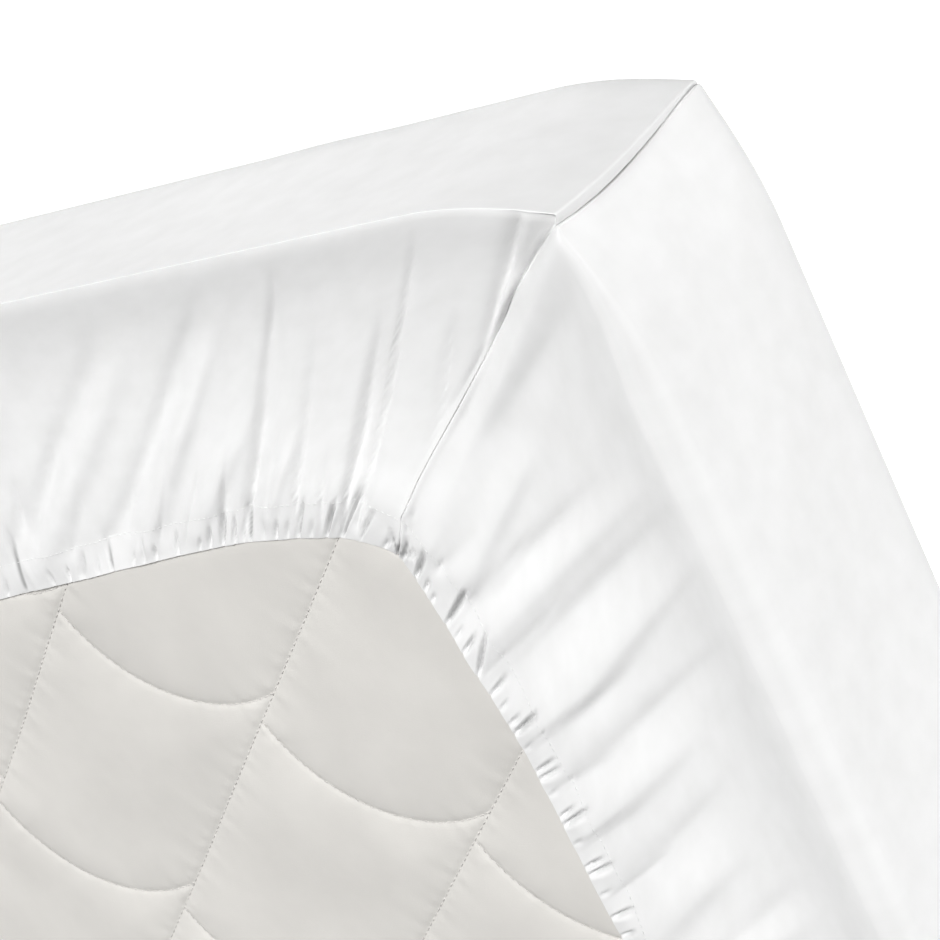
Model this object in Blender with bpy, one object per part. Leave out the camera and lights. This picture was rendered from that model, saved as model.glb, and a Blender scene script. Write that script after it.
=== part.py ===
"""A fitted sheet pulled over a thin single mattress.

The mattress lies with its sleep face down, so the sheet's wrapped-under flap, its
elasticated hem and the quilted underside of the mattress face up.

Frame: metres, +Z up, origin at the bottom centre. X runs across the mattress and Y along
it. The corner with the measured folds is the one at lowest X and lowest Y, and a plan
point given "from the corner" counts from the sharp corner that the sheet's outer faces
would meet in there.
"""

import math
import random
from collections import namedtuple

import bmesh
import bpy
from mathutils import Vector, kdtree
from mathutils.geometry import delaunay_2d_cdt

MM = 0.001

# ---------------------------------------------------------------- mattress
MATTRESS_WIDTH = 0.900
MATTRESS_LENGTH = 2.000
MATTRESS_THICKNESS = 0.120
MATTRESS_SLEEP_EDGE_RADIUS = 0.016
MATTRESS_UNDER_EDGE_RADIUS = 0.013

# ---------------------------------------------------------------- sheet
CLOTH = 0.0015
EDGE_CLEARANCE = 0.0020
SLEEP_FACE_GAP = 0.0003
UNDER_FACE_GAP = 0.0006
SLEEP_EDGE_RADIUS = 0.016
UNDER_EDGE_RADIUS = 0.014
HEM_WIDTH = 0.016
# In plan each side curves in towards the corner seam over this reach, so that the seam
# stands this far in from both edges and keeps a slight point.
CORNER_REACH = 0.080
CORNER_CUT = 0.0135

MATTRESS_BOTTOM = CLOTH + SLEEP_FACE_GAP
MATTRESS_TOP = MATTRESS_BOTTOM + MATTRESS_THICKNESS
FLAP_BASE = MATTRESS_TOP + UNDER_FACE_GAP + CLOTH
HALF_X = MATTRESS_WIDTH / 2 + EDGE_CLEARANCE + CLOTH
HALF_Y = MATTRESS_LENGTH / 2 + EDGE_CLEARANCE + CLOTH

# How far the hem lies in from the sheet's edge, against the distance from the corner
# along that edge, in mm. The first row of each is the foot of the corner seam.
HemRow = namedtuple("HemRow", "along inset")
HEM_OF_SHORT_SIDE = [
    HemRow(163, 145),
    HemRow(172, 138),
    HemRow(190, 133),
    HemRow(240, 129),
    HemRow(310, 133),
    HemRow(380, 140),
    HemRow(460, 144),
]
HEM_OF_LONG_SIDE = [
    HemRow(145, 163),
    HemRow(166, 158),
    HemRow(200, 152),
    HemRow(257, 145),
    HemRow(340, 143),
    HemRow(560, 149),
    HemRow(1010, 152),
]
# Away from the measured corner the elastic also draws the hem into slow waves.
HEM_WAVE = 0.0035
HEM_WAVE_LENGTH = 0.340
HEM_WAVE_STARTS = 0.420
HEM_WAVE_FULL = 0.620
# Beyond these distances along an edge the flap's threads run square to it again.
LEAN_ENDS_SHORT = 0.430
LEAN_ENDS_LONG = 0.620

# Folds of the flap by the measured corner, in mm from the corner. A fold runs from its
# start near the mattress edge to its foot at the hem. rise is its height above the
# flap's own lift, and a crease has a negative one.
FoldRow = namedtuple("FoldRow", "from_x from_y to_x to_y half_width rise")
FOLDS_BY_SEAM = [
    FoldRow(14, 16, 45, 41, 4, -4.0),
    FoldRow(31, 18, 99, 85, 5, -5.0),
    FoldRow(75, 36, 116, 97, 5, -3.5),
    FoldRow(9, 20, 88, 84, 5, 5.0),
    FoldRow(12, 30, 91, 101, 8, -4.5),
    FoldRow(59, 86, 124, 155, 10, 4.0),
    FoldRow(108, 112, 142, 143, 5, 2.5),
    FoldRow(105, 118, 141, 152, 5, -3.0),
]
FOLDS_OF_SHORT_SIDE = [
    FoldRow(83, 15, 182, 133, 3, -3.0),
    FoldRow(115, 38, 190, 131, 6, -5.0),
    FoldRow(162, 60, 206, 130, 6, -3.0),
    FoldRow(150, 20, 243, 128, 7, -4.5),
    FoldRow(190, 56, 262, 122, 9, 2.5),
    FoldRow(176, 23, 285, 124, 9, -2.5),
    FoldRow(205, 24, 304, 124, 10, 3.0),
    FoldRow(190, 9, 328, 118, 10, -5.0),
    FoldRow(270, 42, 369, 126, 12, 3.5),
    FoldRow(270, 19, 392, 124, 10, -4.5),
    FoldRow(350, 60, 399, 139, 7, -3.5),
    FoldRow(330, 20, 440, 140, 13, 3.0),
]
FOLDS_OF_LONG_SIDE = [
    FoldRow(57, 127, 134, 168, 8, -4.5),
    FoldRow(38, 134, 134, 184, 9, 3.5),
    FoldRow(17, 133, 140, 200, 9, -4.5),
    FoldRow(17, 152, 138, 231, 10, 4.0),
    FoldRow(70, 205, 140, 240, 6, -4.0),
    FoldRow(21, 191, 136, 268, 9, -3.5),
    FoldRow(50, 240, 140, 280, 9, 3.5),
    FoldRow(90, 270, 135, 291, 6, -3.0),
    FoldRow(45, 261, 135, 320, 10, -3.5),
    FoldRow(50, 285, 135, 345, 13, 4.0),
    FoldRow(30, 310, 138, 372, 10, -3.5),
]
# The other corners take the same folds, mirrored and then changed by up to this much.
CORNER_SHIFT = 0.007
CORNER_RISE_CHANGE = 0.25
# Folds along the rest of a long side follow one another at this pitch.
FAR_FOLD_FIRST = 0.385
FAR_FOLD_PITCH = (0.034, 0.056)
FAR_FOLD_HALF_WIDTH = (0.010, 0.015)
FAR_FOLD_RISE = (0.0028, 0.0048)
FAR_FOLD_LEAN = 0.080
FAR_FOLD_LEAN_CHANGE = 0.012
FAR_FOLD_START_INSET = (0.018, 0.060)
FAR_FOLD_FOOT_INSET = 0.140
SEED = 11
# Along a fold, part runs from 0 at its start to 1 at its foot. It grows over the first of
# these spans and fades over the second, and at its start it is narrower by this share.
FOLD_GROWS = (-0.1, 0.5)
FOLD_FADES = (1.05, 1.3)
FOLD_START_WIDTH = 0.6
FOLD_REACH_IN_HALF_WIDTHS = 2.6

# How far the flap lies off the mattress, in mm, and which share of each fold's rise it
# has. part runs from 0 at the mattress edge to 1 at the hem's stitching, and then from
# there to the hem's own edge.
FlapRow = namedtuple("FlapRow", "part lift fold_share")
FLAP_ROWS = [
    FlapRow(0.32, 2.6, 0.45),
    FlapRow(0.59, 4.8, 0.90),
    FlapRow(0.83, 6.0, 1.00),
    FlapRow(1.00, 4.4, 0.70),
]
HEM_ROWS = [
    FlapRow(0.50, 4.8, 0.55),
    FlapRow(1.00, 1.2, 0.30),
]
LEAST_LIFT = 0.0001

# ---------------------------------------------------------------- mesh of the sheet
HALF_CORNER_COLUMNS = 10
FINE_REACH = 0.40
FINE_COLUMNS = 40
COARSE_COLUMNS_AFTER_FINE = {"short": 16, "long": 64}
EVEN_COLUMNS = {"short": 36, "long": 80}
SIDE_THINNING = 4
FLAP_START_THINNING = 2
EDGE_STEPS = 3

# ---------------------------------------------------------------- quilting
# Straight lines of stitching run slantwise across the underside, and between each two of
# them a row of scallops hangs like fish scales. The start point is where one scallop
# leaves its line, from the corner.
QUILT_ANGLE = math.radians(41.0)
QUILT_LINE_PITCH = 0.112
SCALLOP_PITCH = 0.155
SCALLOP_RADIUS = 0.076
SCALLOP_DROP = 0.036
SCALLOP_STEP_BACK = 0.024
QUILT_START = (0.294, 0.222)
QUILT_GROOVE_DEPTH = 0.0045
QUILT_GROOVE_REACH = 0.016
QUILT_MARGIN = 0.030
GROOVE_STEP = 0.028
GROOVE_LEAST_STEP = 0.0155
FIELD_STEP = 0.036
FIELD_CLEAR_OF_GROOVE = 0.013

SHEET_COLOUR = (0.93, 0.93, 0.925, 1.0)
SHEET_ROUGHNESS = 0.85
TICKING_COLOUR = (0.70, 0.69, 0.66, 1.0)
TICKING_ROUGHNESS = 0.9
SHARP_ANGLE = math.radians(50)


# ---------------------------------------------------------------- small helpers
def clear_scene():
    for thing in list(bpy.data.objects):
        bpy.data.objects.remove(thing, do_unlink=True)


def smooth_step(low, high, value):
    part = min(1.0, max(0.0, (value - low) / (high - low)))
    return part * part * (3 - 2 * part)


def hem_inset(rows, along):
    """The inset in the rows at this distance along, on a smooth curve through them."""
    slopes = [(b.inset - a.inset) / (b.along - a.along) for a, b in zip(rows, rows[1:])]
    slopes = [slopes[0]] + [(a + b) / 2 for a, b in zip(slopes, slopes[1:])] + [0.0]
    along = min(max(along, rows[0].along), rows[-1].along)
    number = max(k for k, row in enumerate(rows[:-1]) if row.along <= along)
    low, high = rows[number], rows[number + 1]
    step = high.along - low.along
    part = (along - low.along) / step
    rest = 1 - part
    inset = low.inset * rest * rest * (1 + 2 * part) + high.inset * part * part * (1 + 2 * rest)
    return inset + step * part * rest * (slopes[number] * rest - slopes[number + 1] * part)


def cloth_material(name, colour, roughness):
    material = bpy.data.materials.new(name)
    material.use_nodes = True
    shader = material.node_tree.nodes["Principled BSDF"]
    shader.inputs["Base Color"].default_value = colour
    shader.inputs["Roughness"].default_value = roughness
    shader.inputs["Metallic"].default_value = 0.0
    return material


def make_object(name, mesh_data, material):
    mesh = bpy.data.meshes.new(name)
    mesh_data.to_mesh(mesh)
    mesh_data.free()
    mesh.materials.append(material)
    mesh.shade_smooth()
    mesh.set_sharp_from_angle(angle=SHARP_ANGLE)
    thing = bpy.data.objects.new(name, mesh)
    bpy.context.scene.collection.objects.link(thing)
    return thing


# ---------------------------------------------------------------- plan of one side
class Side:
    """One side of the sheet, from corner seam to corner seam.

    start is the sharp corner where it begins, along its direction and inward the
    direction to the mattress's middle. Walking along it keeps the mattress on the left,
    and walked is how far the walk from the measured corner has come where it starts.
    fine_end is the end with the measured corner, if it has that.
    """

    def __init__(self, kind, start, along, inward, length, walked, fine_end):
        self.kind = kind
        self.start = Vector(start)
        self.along = Vector(along)
        self.inward = Vector(inward)
        self.length = length
        self.fine_end = fine_end
        self.hem_rows = HEM_OF_SHORT_SIDE if kind == "short" else HEM_OF_LONG_SIDE
        self.walked = walked
        self.lean_ends = LEAN_ENDS_SHORT if kind == "short" else LEAN_ENDS_LONG

    def place(self, along, inward):
        return self.start + self.along * along + self.inward * inward

    def columns(self):
        """Where the mesh's columns meet the sheet's edge, as distances along it."""
        first, last = CORNER_REACH, self.length - CORNER_REACH
        corner = [
            CORNER_CUT + (CORNER_REACH - CORNER_CUT) * k / HALF_CORNER_COLUMNS
            for k in range(HALF_CORNER_COLUMNS)
        ]
        if self.fine_end is None:
            count = EVEN_COLUMNS[self.kind]
            straight = [first + (last - first) * k / count for k in range(count)]
        else:
            count = COARSE_COLUMNS_AFTER_FINE[self.kind]
            rest = last - first - FINE_REACH
            steps = [FINE_REACH * k / FINE_COLUMNS for k in range(FINE_COLUMNS)]
            steps += [FINE_REACH + rest * k / count for k in range(count + 1)]
            if self.fine_end == "start":
                straight = [first + step for step in steps[:-1]]
            else:
                straight = [last - step for step in reversed(steps[1:])]
        far_corner = [last] + [self.length - place for place in reversed(corner[1:])]
        return corner + straight + far_corner

    def edge(self, along, inset):
        """Plan point of a column at this inset from the sheet's outer face."""
        near = min(along, self.length - along)
        ease = max(0.0, (CORNER_REACH - near) / (CORNER_REACH - CORNER_CUT))
        near += inset * ease
        if along > self.length / 2:
            near = self.length - near
        return self.place(near, CORNER_CUT * ease**2 + inset)

    def hem(self, along):
        """Plan points where a column meets the hem's stitching and the hem's own edge."""
        near = min(along, self.length - along)
        lean = self.hem_rows[0].along * MM - CORNER_CUT
        lean *= 1 - smooth_step(CORNER_CUT, self.lean_ends, near)
        near += lean
        inset = hem_inset(self.hem_rows, near / MM) * MM
        inset += hem_wave(self.walked + along, near - self.hem_rows[0].along * MM)
        if along > self.length / 2:
            near = self.length - near
        hem = self.place(near, inset)
        start = self.edge(along, UNDER_EDGE_RADIUS)
        return hem.lerp(start, HEM_WIDTH / (inset - UNDER_EDGE_RADIUS)), hem


def sides():
    """The four sides in turn, with the measured corner first and last."""
    width, length = 2 * HALF_X, 2 * HALF_Y
    return [
        Side("short", (-HALF_X, -HALF_Y), (1, 0), (0, 1), width, 0.0, "start"),
        Side("long", (HALF_X, -HALF_Y), (0, 1), (-1, 0), length, width, None),
        Side("short", (HALF_X, HALF_Y), (-1, 0), (0, -1), width, width + length, None),
        Side("long", (-HALF_X, HALF_Y), (0, -1), (1, 0), length, 2 * width + length, "end"),
    ]


def hem_wave(walked, from_foot):
    """How far the wave moves the hem: not at all at a seam's foot or the measured corner."""
    from_measured = min(walked, 4 * (HALF_X + HALF_Y) - walked)
    grown = smooth_step(HEM_WAVE_STARTS, HEM_WAVE_FULL, from_measured)
    grown *= smooth_step(0.0, HEM_WAVE_LENGTH / 4, from_foot)
    return HEM_WAVE * grown * math.sin(math.tau * from_measured / HEM_WAVE_LENGTH)


def sheet_columns():
    return [(side, along) for side in sides() for along in side.columns()]


# ---------------------------------------------------------------- folds
class Fold:
    def __init__(self, start, foot, half_width, rise):
        self.start = start
        self.run = foot - start
        self.length = self.run.length
        self.run.normalize()
        self.half_width = half_width
        self.rise = rise

    def height_at(self, point):
        offset = point - self.start
        part = offset.dot(self.run) / self.length
        across = abs(offset.x * self.run.y - offset.y * self.run.x)
        widened = min(1.0, max(0.0, part))
        half_width = self.half_width * (FOLD_START_WIDTH + (1 - FOLD_START_WIDTH) * widened)
        if across > FOLD_REACH_IN_HALF_WIDTHS * half_width:
            return 0.0
        grown = smooth_step(*FOLD_GROWS, part) * (1 - smooth_step(*FOLD_FADES, part))
        return self.rise * grown * math.exp(-((across / half_width) ** 2))


def corner_folds():
    """The measured folds, at the measured corner and mirrored to the other three."""
    draw = random.Random(SEED)
    table = FOLDS_BY_SEAM + FOLDS_OF_SHORT_SIDE + FOLDS_OF_LONG_SIDE
    found = []
    for side_x, side_y in ((-1, -1), (1, -1), (1, 1), (-1, 1)):
        measured = (side_x, side_y) == (-1, -1)
        for from_x, from_y, to_x, to_y, half_width, rise in table:
            shift = 0.0 if measured else draw.uniform(-CORNER_SHIFT, CORNER_SHIFT)
            change = 1.0 if measured else 1 + draw.uniform(-1, 1) * CORNER_RISE_CHANGE
            ends = []
            for x, y in ((from_x, from_y), (to_x, to_y)):
                x, y = x * MM, y * MM
                if y < x:
                    x += shift
                else:
                    y += shift
                ends.append(Vector((side_x * (HALF_X - x), side_y * (HALF_Y - y))))
            found.append(Fold(ends[0], ends[1], half_width * MM, rise * MM * change))
    return found


def far_folds():
    """Folds along the middle of the two long sides, leaning less towards the middle."""
    draw = random.Random(SEED + 1)
    found = []
    for side_x in (-1, 1):
        place = -HALF_Y + FAR_FOLD_FIRST
        rising = True
        while place < HALF_Y - FAR_FOLD_FIRST:
            lean = draw.uniform(-1, 1) * FAR_FOLD_LEAN_CHANGE - FAR_FOLD_LEAN * place / HALF_Y
            start_inset = draw.uniform(*FAR_FOLD_START_INSET)
            start = Vector((side_x * (HALF_X - start_inset), place - lean))
            foot = Vector((side_x * (HALF_X - FAR_FOLD_FOOT_INSET), place))
            rise = draw.uniform(*FAR_FOLD_RISE) * (1 if rising else -1)
            found.append(Fold(start, foot, draw.uniform(*FAR_FOLD_HALF_WIDTH), rise))
            rising = not rising
            place += draw.uniform(*FAR_FOLD_PITCH)
    return found


# ---------------------------------------------------------------- sheet
def ring_profile():
    """(inset, height) of each ring from the sleep face up to the start of the flap."""
    rings = []
    for k in range(EDGE_STEPS + 1):
        angle = math.radians(90) * k / EDGE_STEPS
        reach = SLEEP_EDGE_RADIUS
        rings.append((reach * (1 - math.sin(angle)), reach * (1 - math.cos(angle))))
    for k in range(EDGE_STEPS + 1):
        angle = math.radians(90) * k / EDGE_STEPS
        reach = UNDER_EDGE_RADIUS
        rings.append((reach * (1 - math.cos(angle)), FLAP_BASE - reach * (1 - math.sin(angle))))
    return rings


def skirt_rings(mesh, columns):
    """The sleep face, the edges and the sides, on every SIDE_THINNING-th column."""
    kept = columns[::SIDE_THINNING]
    rings = []
    for inset, height in ring_profile():
        ring = [mesh.verts.new((*side.edge(along, inset), height)) for side, along in kept]
        if rings:
            join_rings(mesh, rings[-1], ring)
        rings.append(ring)
    mesh.faces.new(list(reversed(rings[0])))
    return rings[-1]


def flap_rings(mesh, columns, top_ring, folds):
    """The wrapped-under flap and its hem, with more columns in each of its first two rings."""
    rows = [(False, *row) for row in FLAP_ROWS] + [(True, *row) for row in HEM_ROWS]
    before = top_ring
    for number, (in_hem, part, lift, fold_share) in enumerate(rows):
        ring = []
        for side, along in columns[:: FLAP_START_THINNING if number == 0 else 1]:
            stitching, hem = side.hem(along)
            edge = side.edge(along, UNDER_EDGE_RADIUS)
            point = stitching.lerp(hem, part) if in_hem else edge.lerp(stitching, part)
            height = lift * MM + fold_share * sum(fold.height_at(point) for fold in folds)
            ring.append(mesh.verts.new((*point, FLAP_BASE + max(LEAST_LIFT, height))))
        join_rings(mesh, before, ring)
        before = ring


def join_rings(mesh, lower, upper):
    """Faces between two closed rings. The upper one may have two or more times the points."""
    times = len(upper) // len(lower)
    for k, corner in enumerate(lower):
        after = lower[(k + 1) % len(lower)]
        fan = [upper[(k * times + n) % len(upper)] for n in range(times + 1)]
        if times == 1:
            mesh.faces.new((corner, after, fan[1], fan[0]))
            continue
        middle = times // 2
        for n in range(middle):
            mesh.faces.new((corner, fan[n + 1], fan[n]))
        mesh.faces.new((corner, after, fan[middle]))
        for n in range(middle, times):
            mesh.faces.new((after, fan[n + 1], fan[n]))


def make_sheet():
    mesh = bmesh.new()
    columns = sheet_columns()
    top_ring = skirt_rings(mesh, columns)
    flap_rings(mesh, columns, top_ring, corner_folds() + far_folds())
    bmesh.ops.triangulate(mesh, faces=[face for face in mesh.faces if len(face.verts) == 4])
    cotton = cloth_material("white_cotton", SHEET_COLOUR, SHEET_ROUGHNESS)
    sheet = make_object("fitted_sheet", mesh, cotton)
    thickness = sheet.modifiers.new("cloth_thickness", "SOLIDIFY")
    thickness.thickness = CLOTH
    thickness.offset = -1.0


# ---------------------------------------------------------------- mattress
def quilt_frame():
    run = Vector((math.cos(QUILT_ANGLE), math.sin(QUILT_ANGLE)))
    across = Vector((-run.y, run.x))
    start = Vector((-HALF_X + QUILT_START[0], -HALF_Y + QUILT_START[1]))
    return start, run, across


def scallop_points():
    """(along, across) of one scallop from its line to the next, an arc of a circle."""
    start, end = Vector((0.0, 0.0)), Vector((-SCALLOP_DROP, QUILT_LINE_PITCH))
    chord = end - start
    up = Vector((chord.y, -chord.x)).normalized()
    depth = math.sqrt(SCALLOP_RADIUS**2 - (chord.length / 2) ** 2)
    centre = (start + end) / 2 - up * depth
    half_angle = math.asin(chord.length / 2 / SCALLOP_RADIUS)
    steps = max(2, round(2 * half_angle * SCALLOP_RADIUS / GROOVE_STEP))
    found = []
    for k in range(steps + 1):
        angle = half_angle * (2 * k / steps - 1)
        found.append(centre + SCALLOP_RADIUS * (up * math.cos(angle) + chord.normalized() * math.sin(angle)))
    return found


def quilt_runs():
    """Every groove of the quilting, as a list of plan points, past the mattress's edges."""
    start, run, across = quilt_frame()
    reach = math.hypot(MATTRESS_WIDTH, MATTRESS_LENGTH)
    lines = math.ceil(reach / QUILT_LINE_PITCH)
    scallops = math.ceil(reach / SCALLOP_PITCH)
    scallop = scallop_points()
    runs = []
    for line in range(-lines, lines + 1):
        foot = start + across * (line * QUILT_LINE_PITCH)
        steps = math.ceil(reach / GROOVE_STEP)
        runs.append([foot + run * (k * GROOVE_STEP) for k in range(-steps, steps + 1)])
        for number in range(-scallops, scallops + 1):
            offset = number * SCALLOP_PITCH - line * SCALLOP_STEP_BACK
            runs.append([foot + run * (offset + p.x) + across * p.y for p in scallop])
    return runs


def in_quilted_field(point):
    """True where the point lies well inside the underside's edges and cut corners."""
    from_end = MATTRESS_LENGTH / 2 - QUILT_MARGIN - abs(point.y)
    from_side = MATTRESS_WIDTH / 2 - QUILT_MARGIN - abs(point.x)
    return min(from_end, from_side) > 0 and from_end + from_side > QUILT_MARGIN


def groove_points():
    return [point for run in quilt_runs() for point in run if in_quilted_field(point)]


def find_tree(points):
    tree = kdtree.KDTree(len(points))
    for number, point in enumerate(points):
        tree.insert((point.x, point.y, 0), number)
    tree.balance()
    return tree


def thinned(points, distance):
    """The points, without any that lies closer than distance to an earlier one."""
    tree = find_tree(points)
    dropped = set()
    for number, point in enumerate(points):
        if number in dropped:
            continue
        near = tree.find_range((point.x, point.y, 0), distance)
        dropped |= {other for _, other, _ in near if other > number}
    return [point for number, point in enumerate(points) if number not in dropped]


def field_points(grooves):
    """Evenly staggered points of the quilted cells, clear of the grooves."""
    tree = find_tree(grooves)
    row_step = FIELD_STEP * math.sqrt(3) / 2
    rows = math.ceil(MATTRESS_LENGTH / row_step)
    across = math.ceil(MATTRESS_WIDTH / FIELD_STEP)
    found = []
    for row in range(rows + 1):
        for k in range(across + 1):
            x = (k + 0.5 * (row % 2)) * FIELD_STEP - MATTRESS_WIDTH / 2
            point = Vector((x, row * row_step - MATTRESS_LENGTH / 2))
            clear = tree.find((point.x, point.y, 0))[2] > FIELD_CLEAR_OF_GROOVE
            if clear and in_quilted_field(point):
                found.append(point)
    return found


def make_mattress():
    mesh = bmesh.new()
    columns = sheet_columns()[::SIDE_THINNING]
    rings = []
    for inset, height in mattress_profile():
        ring = [mesh.verts.new((*side.edge(along, inset), height)) for side, along in columns]
        if rings:
            join_rings(mesh, rings[-1], ring)
        rings.append(ring)
    mesh.faces.new(list(reversed(rings[0])))
    quilted_face(mesh, rings[-1])
    ticking = cloth_material("quilted_ticking", TICKING_COLOUR, TICKING_ROUGHNESS)
    make_object("mattress", mesh, ticking)


def mattress_profile():
    """(inset, height) of the mattress's rings, from its sleep face to its underside."""
    side = CLOTH + EDGE_CLEARANCE
    rings = []
    for k in range(EDGE_STEPS + 1):
        angle = math.radians(90) * k / EDGE_STEPS
        reach = MATTRESS_SLEEP_EDGE_RADIUS
        height = MATTRESS_BOTTOM + reach * (1 - math.cos(angle))
        rings.append((side + reach * (1 - math.sin(angle)), height))
    for k in range(EDGE_STEPS + 1):
        angle = math.radians(90) * k / EDGE_STEPS
        reach = MATTRESS_UNDER_EDGE_RADIUS
        height = MATTRESS_TOP - reach * (1 - math.sin(angle))
        rings.append((side + reach * (1 - math.cos(angle)), height))
    return rings


def quilted_face(mesh, ring):
    """Fills the top ring with the quilted underside."""
    grooves = thinned(groove_points(), GROOVE_LEAST_STEP)
    tree = find_tree(grooves)
    inner = grooves + field_points(grooves)
    outline = [Vector(vert.co[:2]) for vert in ring]
    loop = list(range(len(outline)))
    edges = list(zip(loop, loop[1:] + loop[:1]))
    points, _, faces, origins, _, _ = delaunay_2d_cdt(outline + inner, edges, [loop], 1, 1e-7)
    verts = []
    for point, origin in zip(points, origins):
        if origin and origin[0] < len(ring):
            verts.append(ring[origin[0]])
            continue
        away = tree.find((point.x, point.y, 0))[2]
        depth = QUILT_GROOVE_DEPTH * math.exp(-((away / QUILT_GROOVE_REACH) ** 2))
        verts.append(mesh.verts.new((point.x, point.y, MATTRESS_TOP - depth)))
    for face in faces:
        mesh.faces.new([verts[k] for k in face])


def main():
    clear_scene()
    make_sheet()
    make_mattress()


main()
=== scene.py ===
"""A white fitted sheet pulled over a thin quilted mattress, lying with its underside up.

The sheet is one thin cloth: its sleep face on the floor, its sides, the flap that wraps
under the mattress and the elasticated hem round the opening. The mattress's quilted
underside shows in that opening.

Units are metres. A plan point given "from the corner" counts from the sharp corner that
the sheet's outer faces would meet in at lowest X and lowest Y, which is the corner that
the camera looks at.
"""

import math
import random
from collections import namedtuple

import bpy
import numpy as np
from mathutils import Matrix, Vector
from mathutils.geometry import delaunay_2d_cdt


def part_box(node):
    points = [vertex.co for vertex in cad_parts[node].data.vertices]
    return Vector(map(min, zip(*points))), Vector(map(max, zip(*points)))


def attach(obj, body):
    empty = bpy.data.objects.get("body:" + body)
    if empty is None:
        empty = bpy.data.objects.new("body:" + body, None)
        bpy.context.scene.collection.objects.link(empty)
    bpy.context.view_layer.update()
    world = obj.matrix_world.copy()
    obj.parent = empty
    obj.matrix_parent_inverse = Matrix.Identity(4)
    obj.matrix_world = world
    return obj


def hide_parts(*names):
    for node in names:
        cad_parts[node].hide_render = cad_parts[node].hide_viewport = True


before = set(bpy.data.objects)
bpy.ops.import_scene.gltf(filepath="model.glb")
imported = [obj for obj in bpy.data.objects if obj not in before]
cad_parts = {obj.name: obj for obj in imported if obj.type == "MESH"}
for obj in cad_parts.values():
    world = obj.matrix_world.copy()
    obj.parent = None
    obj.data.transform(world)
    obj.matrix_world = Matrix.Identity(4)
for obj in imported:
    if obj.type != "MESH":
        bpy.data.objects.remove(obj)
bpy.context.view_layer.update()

MM = 0.001
SHEET_LOW, SHEET_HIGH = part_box("fitted_sheet")
MATTRESS_LOW, MATTRESS_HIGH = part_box("mattress")

# ---------------------------------------------------------------- driving sizes
HALF_X = SHEET_HIGH[0]
HALF_Y = SHEET_HIGH[1]
MATTRESS_BOTTOM = MATTRESS_LOW[2]
MATTRESS_TOP = MATTRESS_HIGH[2]
MATTRESS_INSET = HALF_X - MATTRESS_HIGH[0]
# The flap's heights count from a level a little over the mattress's top.
FLAP_OVER_MATTRESS = 0.0021
FLAP_BASE = MATTRESS_TOP + FLAP_OVER_MATTRESS
SLEEP_EDGE_RADIUS = 0.016
SLEEP_EDGE_RADIUS_AT_SEAM = 0.013
MATTRESS_LOW_RADIUS = 0.016
MATTRESS_HIGH_RADIUS = 0.013
HEM_WIDTH = 0.016
# Each plan corner starts to turn CORNER_REACH from the sharp corner, and crosses the
# diagonal CORNER_CUT in from both sides.
CORNER_REACH = 0.080
CORNER_CUT = 0.0115

# The under edge is crisp on the short sides and soft on the long ones. squareness is the
# power of its rounding, which is 2 for a circle.
EdgeShape = namedtuple("EdgeShape", "radius squareness")
EDGE_OF_SHORT_SIDE = EdgeShape(0.00025, 2.2)
EDGE_OF_LONG_SIDE = EdgeShape(0.011, 2.1)
# How much of the long side's shape a corner seam has, how far from the seam each side has
# its own shape, and the power by which the radius falls off on the short side.
SEAM_LONGNESS = 0.10
SIDE_BLEND_REACH = 0.090
RADIUS_FALL_POWER = 4

# How far the hem lies in from the sheet's edge, against the distance from the corner
# along that edge, in mm. The first row of each is the foot of the corner seam.
HemRow = namedtuple("HemRow", "along inset")
HEM_OF_SHORT_SIDE = [HemRow(*row) for row in (
    (163, 145), (172, 139.6), (190, 134.6), (240, 130.4), (310, 133.6), (380, 140.2),
    (460, 145),
)]
HEM_OF_LONG_SIDE = [HemRow(*row) for row in (
    (145, 163), (166, 157), (200, 150.3), (257, 144.3), (340, 142.3), (560, 149),
    (1010, 152),
)]
# A slow wave of the hem starts and is whole at these distances from the measured corner.
HEM_WAVE = 0.0035
HEM_WAVE_LENGTH = 0.340
HEM_WAVE_STARTS = 0.420
HEM_WAVE_FULL = 0.620
# Nearer to a corner than this, the sheet's threads lean away from it on their way in.
LEAN_ENDS_SHORT = 0.430
LEAN_ENDS_LONG = 0.620
# How far the corner seam bows towards the short side, in mm, on its way from the floor
# (part -1) over the under edge (part 0) and the hem's stitching (part 1) to the hem's own
# edge (part 2).
BowRow = namedtuple("BowRow", "part aside")
SEAM_BOW = [BowRow(*row) for row in (
    (-1.00, 0.0), (0.00, -5.0), (0.06, -2.8), (0.14, -0.2), (0.22, 1.2), (0.34, 1.5),
    (0.44, 2.0), (0.62, 3.6), (0.74, 4.9), (0.87, 5.7), (1.00, 4.6), (1.60, 1.0),
    (2.00, 0.0),
)]
SEAM_BOW_REACH = 0.060

# Height of the flap over its base, in mm, from the under edge (part 0) to the hem's
# stitching (part 1).
LiftRow = namedtuple("LiftRow", "part lift")
LIFT_OF_SHORT_SIDE = [LiftRow(*row) for row in (
    (0.00, 1.9), (0.02, 2.0), (0.05, 1.5), (0.12, -0.2), (0.22, -2.2), (0.34, -3.3),
    (0.50, -2.9), (0.70, -0.9), (0.88, 1.2), (1.00, 1.9),
)]
LIFT_OF_LONG_SIDE = [LiftRow(*row) for row in (
    (0.00, 1.4), (0.04, 1.1), (0.12, -0.9), (0.22, -2.8), (0.36, -3.2), (0.55, -0.8),
    (0.76, 3.4), (0.90, 5.0), (1.00, 5.2),
)]
# The same beside the corner seam, and how far this reaches along the edge.
LIFT_BY_SEAM = [LiftRow(*row) for row in (
    (0.00, 2.2), (0.06, 1.0), (0.15, -1.2), (0.30, -3.2), (0.50, -4.2), (0.68, -3.4),
    (0.85, -0.4), (1.00, 3.6),
)]
LIFT_BY_SEAM_REACH = 0.095
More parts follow.
